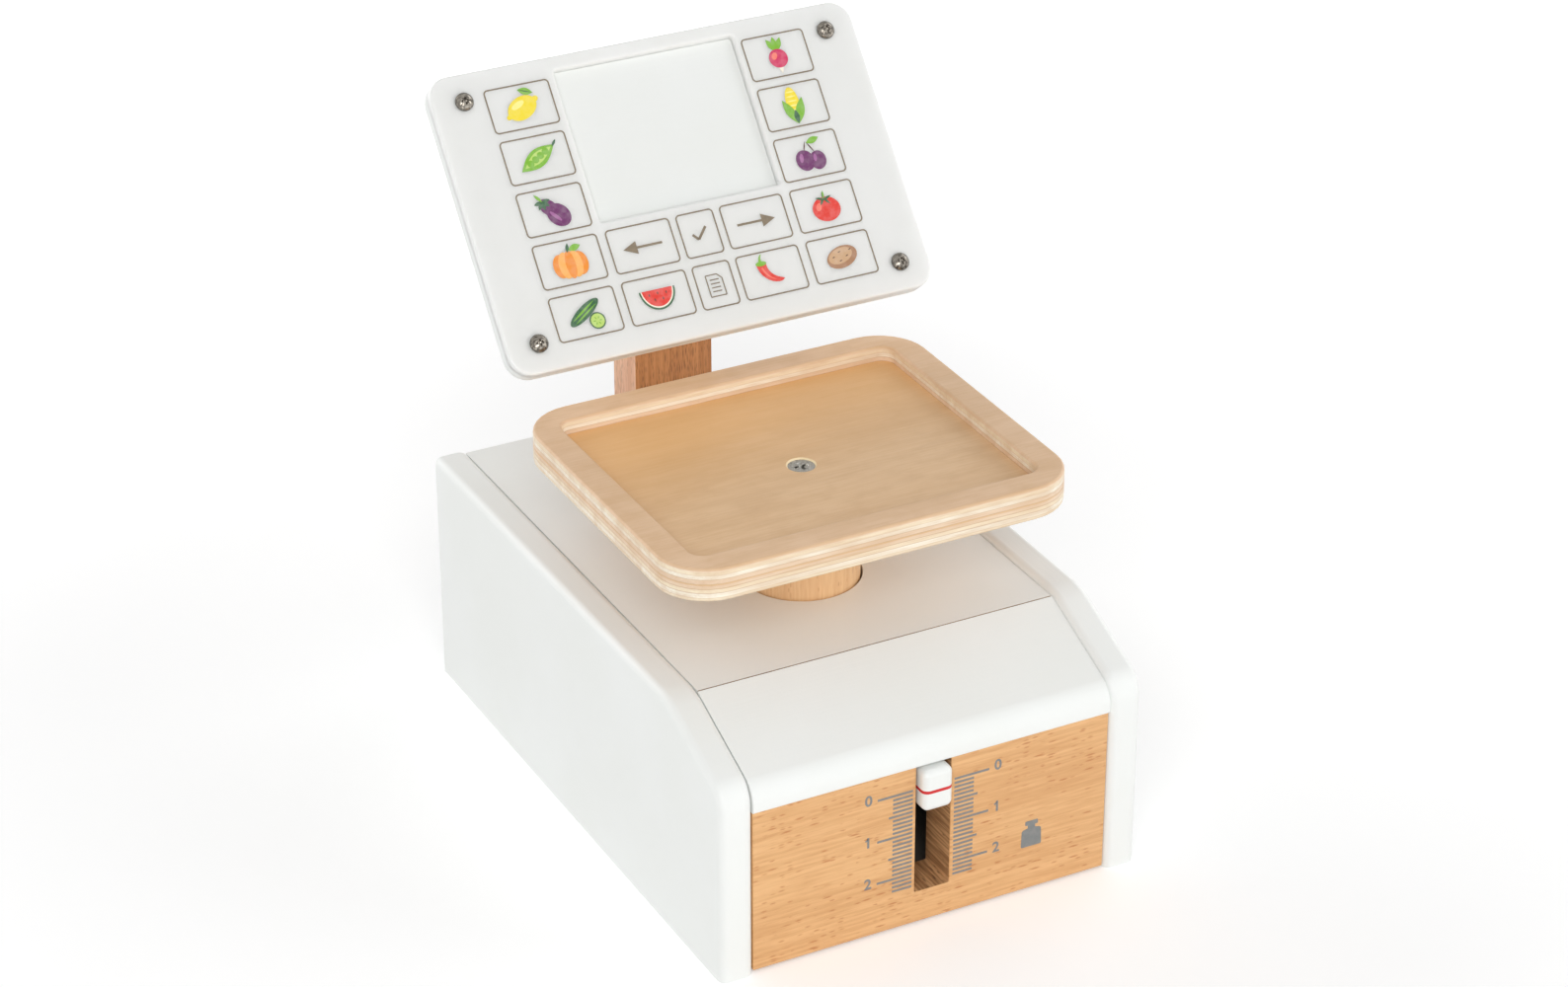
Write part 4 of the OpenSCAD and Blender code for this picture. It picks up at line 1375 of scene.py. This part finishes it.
class Picture:
    """Draws shapes round the middle of a key, each on the layer above the last one."""

    def __init__(self, x, y):
        self.x = x
        self.y = y
        self.layer = 0

    def add(self, ink, points):
        """A flat face from points in shares of the picture's half height."""
        bm = picture_layers[min(self.layer, LAYERS - 1)]
        spots = [(self.x + a * PICTURE_HALF, self.y + b * PICTURE_HALF, 0) for a, b in points]
        face = bm.faces.new([bm.verts.new(spot) for spot in spots])
        face.material_index = ink_names.index(ink)
        self.layer += 1

    def disc(self, ink, x, y, width, height, turn=0, sweep=FULL_TURN):
        """An ellipse, or the part of it that a sweep from its right end gives."""
        count = DISC_STEPS if sweep == FULL_TURN else DISC_STEPS + 1
        rim = [direction(sweep * i / DISC_STEPS) for i in range(count)]
        self.add(ink, turn_points([(a * width, b * height) for a, b in rim], x, y, turn))

    def leaf(self, ink, x, y, length, width, turn):
        """Two arcs that meet in points at both ends."""
        half = DISC_STEPS // 2
        rim = [(-1 + 2 * i / half, math.sin(math.pi * i / half)) for i in range(half)]
        rim = [(a, -b) for a, b in rim] + [(-a, b) for a, b in rim]
        self.add(ink, turn_points([(a * length, b * width) for a, b in rim], x, y, turn))

    def rosette(self, ink, x, y, spread, leaf, turns):
        """Leaves that point away from one middle; spread says how far across and how far up."""
        for turn in turns:
            a, b = direction(turn)
            self.leaf(ink, x + spread[0] * a, y + spread[1] * b, *leaf, turn)

    def horn(self, ink, x, y, radius, width, start, sweep):
        """A curved shape round a centre that tapers from its full width to a point."""
        outer, inner = [], []
        for i in range(HORN_STEPS):
            share = i / HORN_STEPS
            a, b = direction(start + sweep * share)
            half = width * math.sqrt(1 - share)
            outer.append((x + (radius + half) * a, y + (radius + half) * b))
            inner.append((x + (radius - half) * a, y + (radius - half) * b))
        a, b = direction(start + sweep)
        self.add(ink, outer + [(x + radius * a, y + radius * b)] + inner[::-1])


# %% [markdown]
# The twelve pictures are short recipes. Light shapes on top give a little volume, and repeated marks
# such as kernels, peas or seeds are loops.

# %% Pictures for the left column
def lemon(p):
    p.disc("yellow", 0, -0.08, 0.92, 0.62, 24)
    p.disc("yellow", 0.84, 0.3, 0.2, 0.16, 24)
    p.disc("yellow", -0.84, -0.46, 0.18, 0.14, 24)
    p.disc("pale_yellow", -0.2, 0.12, 0.42, 0.17, 24)
    p.leaf("leaf_green", 0.42, 0.8, 0.44, 0.2, 160)
    p.leaf("dark_green", 0.42, 0.8, 0.4, 0.03, 160)


def pea_pod(p):
    p.leaf("leaf_green", 0, 0, 1.25, 0.5, 28)
    p.leaf("pale_green", 0.02, 0.03, 1.0, 0.3, 28)
    for i in range(4):
        along = -0.57 + 0.38 * i
        p.disc("leaf_green", 0.02 + 0.88 * along, 0.03 + 0.47 * along, 0.2, 0.2)
    p.leaf("dark_green", 1.12, 0.66, 0.24, 0.07, 50)


def aubergine(p):
    p.disc("purple", 0.2, -0.3, 0.72, 0.6, -45)
    p.disc("purple", -0.24, 0.18, 0.62, 0.42, -45)
    p.disc("pale_purple", 0.0, -0.34, 0.4, 0.1, -48)
    p.rosette("dark_green", -0.54, 0.54, (0.22, 0.22), (0.26, 0.11), (190, 235, 280, 325, 370))
    p.leaf("leaf_green", -0.7, 0.78, 0.3, 0.08, 128)


def pumpkin(p):
    for side in (-1, 1):
        p.disc("orange", 0.55 * side, -0.14, 0.46, 0.66)
    for side in (-1, 1):
        p.disc("pale_orange", 0.28 * side, -0.14, 0.4, 0.74)
    p.disc("orange", 0, -0.14, 0.28, 0.78)
    p.leaf("dark_green", 0.06, 0.78, 0.28, 0.09, 75)
    p.leaf("leaf_green", 0.46, 0.74, 0.38, 0.18, 12)


def cucumber(p):
    p.disc("dark_green", -0.08, 0.12, 1.12, 0.34, 32)
    p.leaf("leaf_green", -0.12, 0.2, 0.9, 0.06, 32)
    p.leaf("leaf_green", -0.02, 0.02, 0.9, 0.05, 32)
    p.disc("dark_green", 0.52, -0.46, 0.46, 0.46)
    p.disc("pale_green", 0.52, -0.46, 0.39, 0.39)
    p.rosette("leaf_green", 0.52, -0.46, (0.18, 0.18), (0.09, 0.03), range(0, FULL_TURN, 60))


# %% Pictures for the right column
def radish(p):
    p.rosette("leaf_green", 0, 0.26, (0.5, 0.4), (0.42, 0.17), (62, 90, 118))
    p.leaf("cream", 0, -0.72, 0.34, 0.12, 90)
    p.disc("pink", 0, -0.18, 0.56, 0.54)
    p.disc("pale_red", -0.2, -0.02, 0.16, 0.22, -30)


def corn(p):
    p.disc("yellow", 0, 0.14, 0.4, 0.92)
    for row in range(5):
        p.leaf("pale_yellow", 0, 0.78 - 0.26 * row, 0.3, 0.045, 0)
    for side in (-1, 1):
        p.leaf("leaf_green", 0.3 * side, -0.34, 0.78, 0.26, 90 - 22 * side)
    p.leaf("dark_green", 0, -0.66, 0.4, 0.16, 90)


def plum(p):
    p.disc("purple", -0.34, -0.22, 0.54, 0.6, 12)
    p.disc("pale_purple", -0.52, -0.06, 0.12, 0.26, -12)
    p.disc("purple", 0.42, -0.32, 0.48, 0.54, -12)
    p.disc("pale_purple", 0.28, -0.16, 0.1, 0.22, -8)
    p.leaf("dark_brown", -0.16, 0.56, 0.32, 0.035, 70)
    p.leaf("dark_brown", 0.18, 0.48, 0.38, 0.035, 118)
    p.leaf("leaf_green", 0.42, 0.84, 0.42, 0.18, 14)


def tomato(p):
    p.disc("red", 0, -0.16, 0.84, 0.7)
    p.disc("pale_red", -0.42, 0.02, 0.16, 0.24, -28)
    p.rosette("dark_green", 0, 0.42, (0.24, 0.15), (0.26, 0.07), range(18, FULL_TURN, 72))
    p.leaf("leaf_green", 0.03, 0.66, 0.24, 0.05, 80)


def potato(p):
    p.disc("brown", 0, 0, 0.96, 0.6, 14)
    p.disc("pale_brown", -0.08, 0.08, 0.76, 0.42, 14)
    for x, y in ((-0.5, 0.06), (-0.1, 0.3), (0.3, 0.02), (-0.14, -0.2), (0.56, 0.34)):
        p.leaf("dark_brown", x, y, 0.1, 0.03, 20)


# %% Pictures for the lower row
def melon_slice(p):
    p.disc("dark_green", 0, 0.5, 1.05, 1.15, 180, 180)
    p.disc("cream", 0, 0.5, 0.95, 1.04, 180, 180)
    p.disc("red", 0, 0.5, 0.88, 0.96, 180, 180)
    for x, y in ((-0.5, 0.24), (0, 0.28), (0.5, 0.24), (-0.24, -0.06), (0.24, -0.06)):
        p.leaf("dark_brown", x, y, 0.09, 0.04, 90)


def chilli(p):
    p.horn("red", 0.5, 0.55, 1.0, 0.3, 178, 100)
    p.horn("pale_red", 0.5, 0.55, 1.02, 0.06, 190, 60)
    p.disc("leaf_green", -0.5, 0.6, 0.32, 0.14)
    p.horn("leaf_green", -0.02, 0.74, 0.5, 0.08, 186, -58)


# %% Printing the pictures
left_pictures = [lemon, pea_pod, aubergine, pumpkin, cucumber]
right_pictures = [radish, corn, plum, tomato, potato]
for row in range(ROWS):
    left_pictures[row](Picture(-OUTER_X, row_y(row)))
    right_pictures[row](Picture(OUTER_X, row_y(row)))
melon_slice(Picture(-INNER_X, lower_y))
chilli(Picture(INNER_X, lower_y))

LAYER_T = 0.00001
picture_shape = bmesh.new()
for i, layer in enumerate(picture_layers):
    thicken(layer, INK_SUNK + INK_T + i * LAYER_T)
    merge(picture_shape, layer)
place(picture_shape, DISPLAY_VIEW @ Matrix.Translation((PRINT_SHIFT, 0, -INK_SUNK)))
keep_piece("key_pictures", picture_shape, picture_inks, "body", "display_plastic")

# %% [markdown]
# ## The display's screws
# The screws of the display are right in form, but the photograph's heads are a little smaller. A copy of
# the solids is merged into closed shells, and each screw is drawn in towards its own axis. The copy keeps
# the cross in every head.

# %% Display screws
HEAD_SHARE = 0.88

screw_shape = bmesh.new()
screw_shape.from_mesh(frame["nodes"]["display_screws"].data)
bmesh.ops.remove_doubles(screw_shape, verts=screw_shape.verts[:], dist=TOUCH)
place(screw_shape, DISPLAY_VIEW.inverted())
for right in (False, True):
    for upper in (False, True):
        verts = [v for v in screw_shape.verts if (v.co.x > 0) == right and (v.co.y > 0) == upper]
        reach_x = [v.co.x for v in verts]
        reach_y = [v.co.y for v in verts]
        axis = Vector(((min(reach_x) + max(reach_x)) / 2, (min(reach_y) + max(reach_y)) / 2, 0))
        bmesh.ops.scale(
            screw_shape, vec=(HEAD_SHARE, HEAD_SHARE, 1), space=Matrix.Translation(-axis), verts=verts)
place(screw_shape, DISPLAY_VIEW)
keep_piece("display_screws_nickel", screw_shape, [dark_nickel], "body", "dark_nickel", "display_screws")

# %% [markdown]
# ## The solids that keep their shape
# The other screws, the dowels, the cleats, the base, the plunger and the blocks inside are right as they
# are. They only get their finish, with the grain of the longer wooden pieces along their length. The base
# is painted white below, and its inner face is dark grey as painted shade, so the body looks dark through
# the slot.

# %% Finishes of the other solids
INSIDE_SHADE_GREY = tone(112, 108, 102)
INSIDE_SHADE_DEPTH = 0.0002


# The base's inner face is painted dark grey: painted shade inside the body.
def base_finish(inner_z):
    finish = paint_finish("base_paint_inside_shade", WHITE_BRIGHT, WHITE_DULL, ALONG_Y)
    tree, shader, white, vector = reopen(finish)
    inside = add_range(
        tree, add_height(tree, vector), inner_z - 2 * INSIDE_SHADE_DEPTH, inner_z - INSIDE_SHADE_DEPTH)
    tree.links.new(add_mix(tree, inside, white, INSIDE_SHADE_GREY), shader.inputs["Base Color"])
    return finish


cleat_wood = beech_finish("cleat_wood", *PLAIN_TONES, 0.05, ALONG_Y, coat=0)
arm_low, arm_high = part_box("pointer_arm")
arm_ply = plywood_finish("arm_ply", arm_low.z, arm_high.z - arm_low.z, BASE_LAYERS, ALONG_Y)
node_finishes = {
    "base_board": base_finish(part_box("base_board")[1].z),
    "left_base_cleat": cleat_wood,
    "right_base_cleat": cleat_wood,
    "guide_block": plain_wood,
    "spring_post": plunger_lightened_beech,
    "plunger": plunger_lightened_beech,
    "pointer_arm": arm_ply,
    "display_dowels": front_beech,
    "left_panel_dowels": front_beech,
    "right_panel_dowels": front_beech,
    "tray_screw": zinc,
    "base_screws": zinc,
    "guide_screws": zinc,
    "spring_post_screw": zinc,
    "neck_screws": zinc,
    "arm_screws": zinc,
}
for node, finish in node_finishes.items():
    for slot in frame["nodes"][node].material_slots:
        slot.material = finish
print("finished", len(node_finishes), "solids")

# %% [markdown]
# ## Floor and light
# The scale stands on a white floor in soft light. Four large soft lamps stand round it: the strongest
# beside the camera, so that light reaches under the tray, a weaker one on the right and two behind. A
# dim white world fills the rest. The floor is lifted to full white only away from the scale, and only to
# the camera and in reflections, so it keeps the soft shadow under the scale.

# %% Floor
FLOOR_SIZE = 8.0
FLOOR_WHITE = (0.94, 0.94, 0.94, 1.0)
FLOOR_LIFT = 0.17
NEAR_FLOOR = 0.25
FAR_FLOOR = 0.9
FLOOR_ROUGHNESS = 0.9
WHITE_LIGHT = (1, 1, 1, 1)


def add_seen(tree):
    """One for rays from the camera and from reflections, zero for all others."""
    path = tree.nodes.new("ShaderNodeLightPath")
    return add_math(tree, "MAXIMUM", path.outputs["Is Camera Ray"], path.outputs["Is Glossy Ray"])


floor_shape = bmesh.new()
bmesh.ops.create_grid(floor_shape, x_segments=1, y_segments=1, size=FLOOR_SIZE / 2)
floor_mesh = bpy.data.meshes.new("floor")
floor_shape.to_mesh(floor_mesh)
floor_shape.free()
floor = bpy.data.objects.new("floor", floor_mesh)
bpy.context.scene.collection.objects.link(floor)
floor_finish, floor_tree, floor_shader, floor_vector = new_finish("floor")
away = floor_tree.nodes.new("ShaderNodeVectorMath")
away.operation = "LENGTH"
floor_tree.links.new(floor_vector, away.inputs[0])
lift = add_range(floor_tree, away.outputs["Value"], NEAR_FLOOR, FAR_FLOOR, FLOOR_LIFT, 1)
seen_lift = add_math(floor_tree, "MULTIPLY", add_seen(floor_tree), lift)
floor_tree.links.new(seen_lift, floor_shader.inputs["Emission Strength"])
floor_shader.inputs["Emission Color"].default_value = WHITE_LIGHT
floor_shader.inputs["Base Color"].default_value = FLOOR_WHITE
floor_shader.inputs["Roughness"].default_value = FLOOR_ROUGHNESS
floor_shader.inputs["Specular IOR Level"].default_value = 0
floor_mesh.materials.append(floor_finish)
print("floor", FLOOR_SIZE, "m wide")

# %% Lamps and world
WORLD_STRENGTH = 0.42
LAMP_SIZE = 1.4
LAMP_AIM = Vector((0, 0, 0.1))
LAMPS = {
    "key_lamp": ((-1.0, -1.8, 1.2), 26.5),
    "fill_lamp": ((1.7, -1.2, 0.9), 14),
    "back_left_lamp": ((-1.0, 1.7, 0.9), 16),
    "back_right_lamp": ((1.8, 0.8, 0.7), 8),
}


def add_lamp(name, place_at, power):
    data = bpy.data.lights.new(name, "AREA")
    data.size = LAMP_SIZE
    data.energy = power
    lamp = bpy.data.objects.new(name, data)
    lamp.location = place_at
    lamp.rotation_euler = (LAMP_AIM - Vector(place_at)).to_track_quat("-Z", "Y").to_euler()
    lamp.visible_camera = False
    bpy.context.scene.collection.objects.link(lamp)


for name, (place_at, power) in LAMPS.items():
    add_lamp(name, place_at, power)
world = bpy.data.worlds.new("studio")
world.use_nodes = True
bpy.context.scene.world = world
sky = world.node_tree
backdrop = sky.nodes["Background"]
backdrop.inputs["Color"].default_value = WHITE_LIGHT
sky.links.new(add_range(sky, add_seen(sky), 0, 1, WORLD_STRENGTH, 1), backdrop.inputs["Strength"])
bpy.context.scene.view_settings.view_transform = "Standard"
print(len(LAMPS), "lamps and the world made")
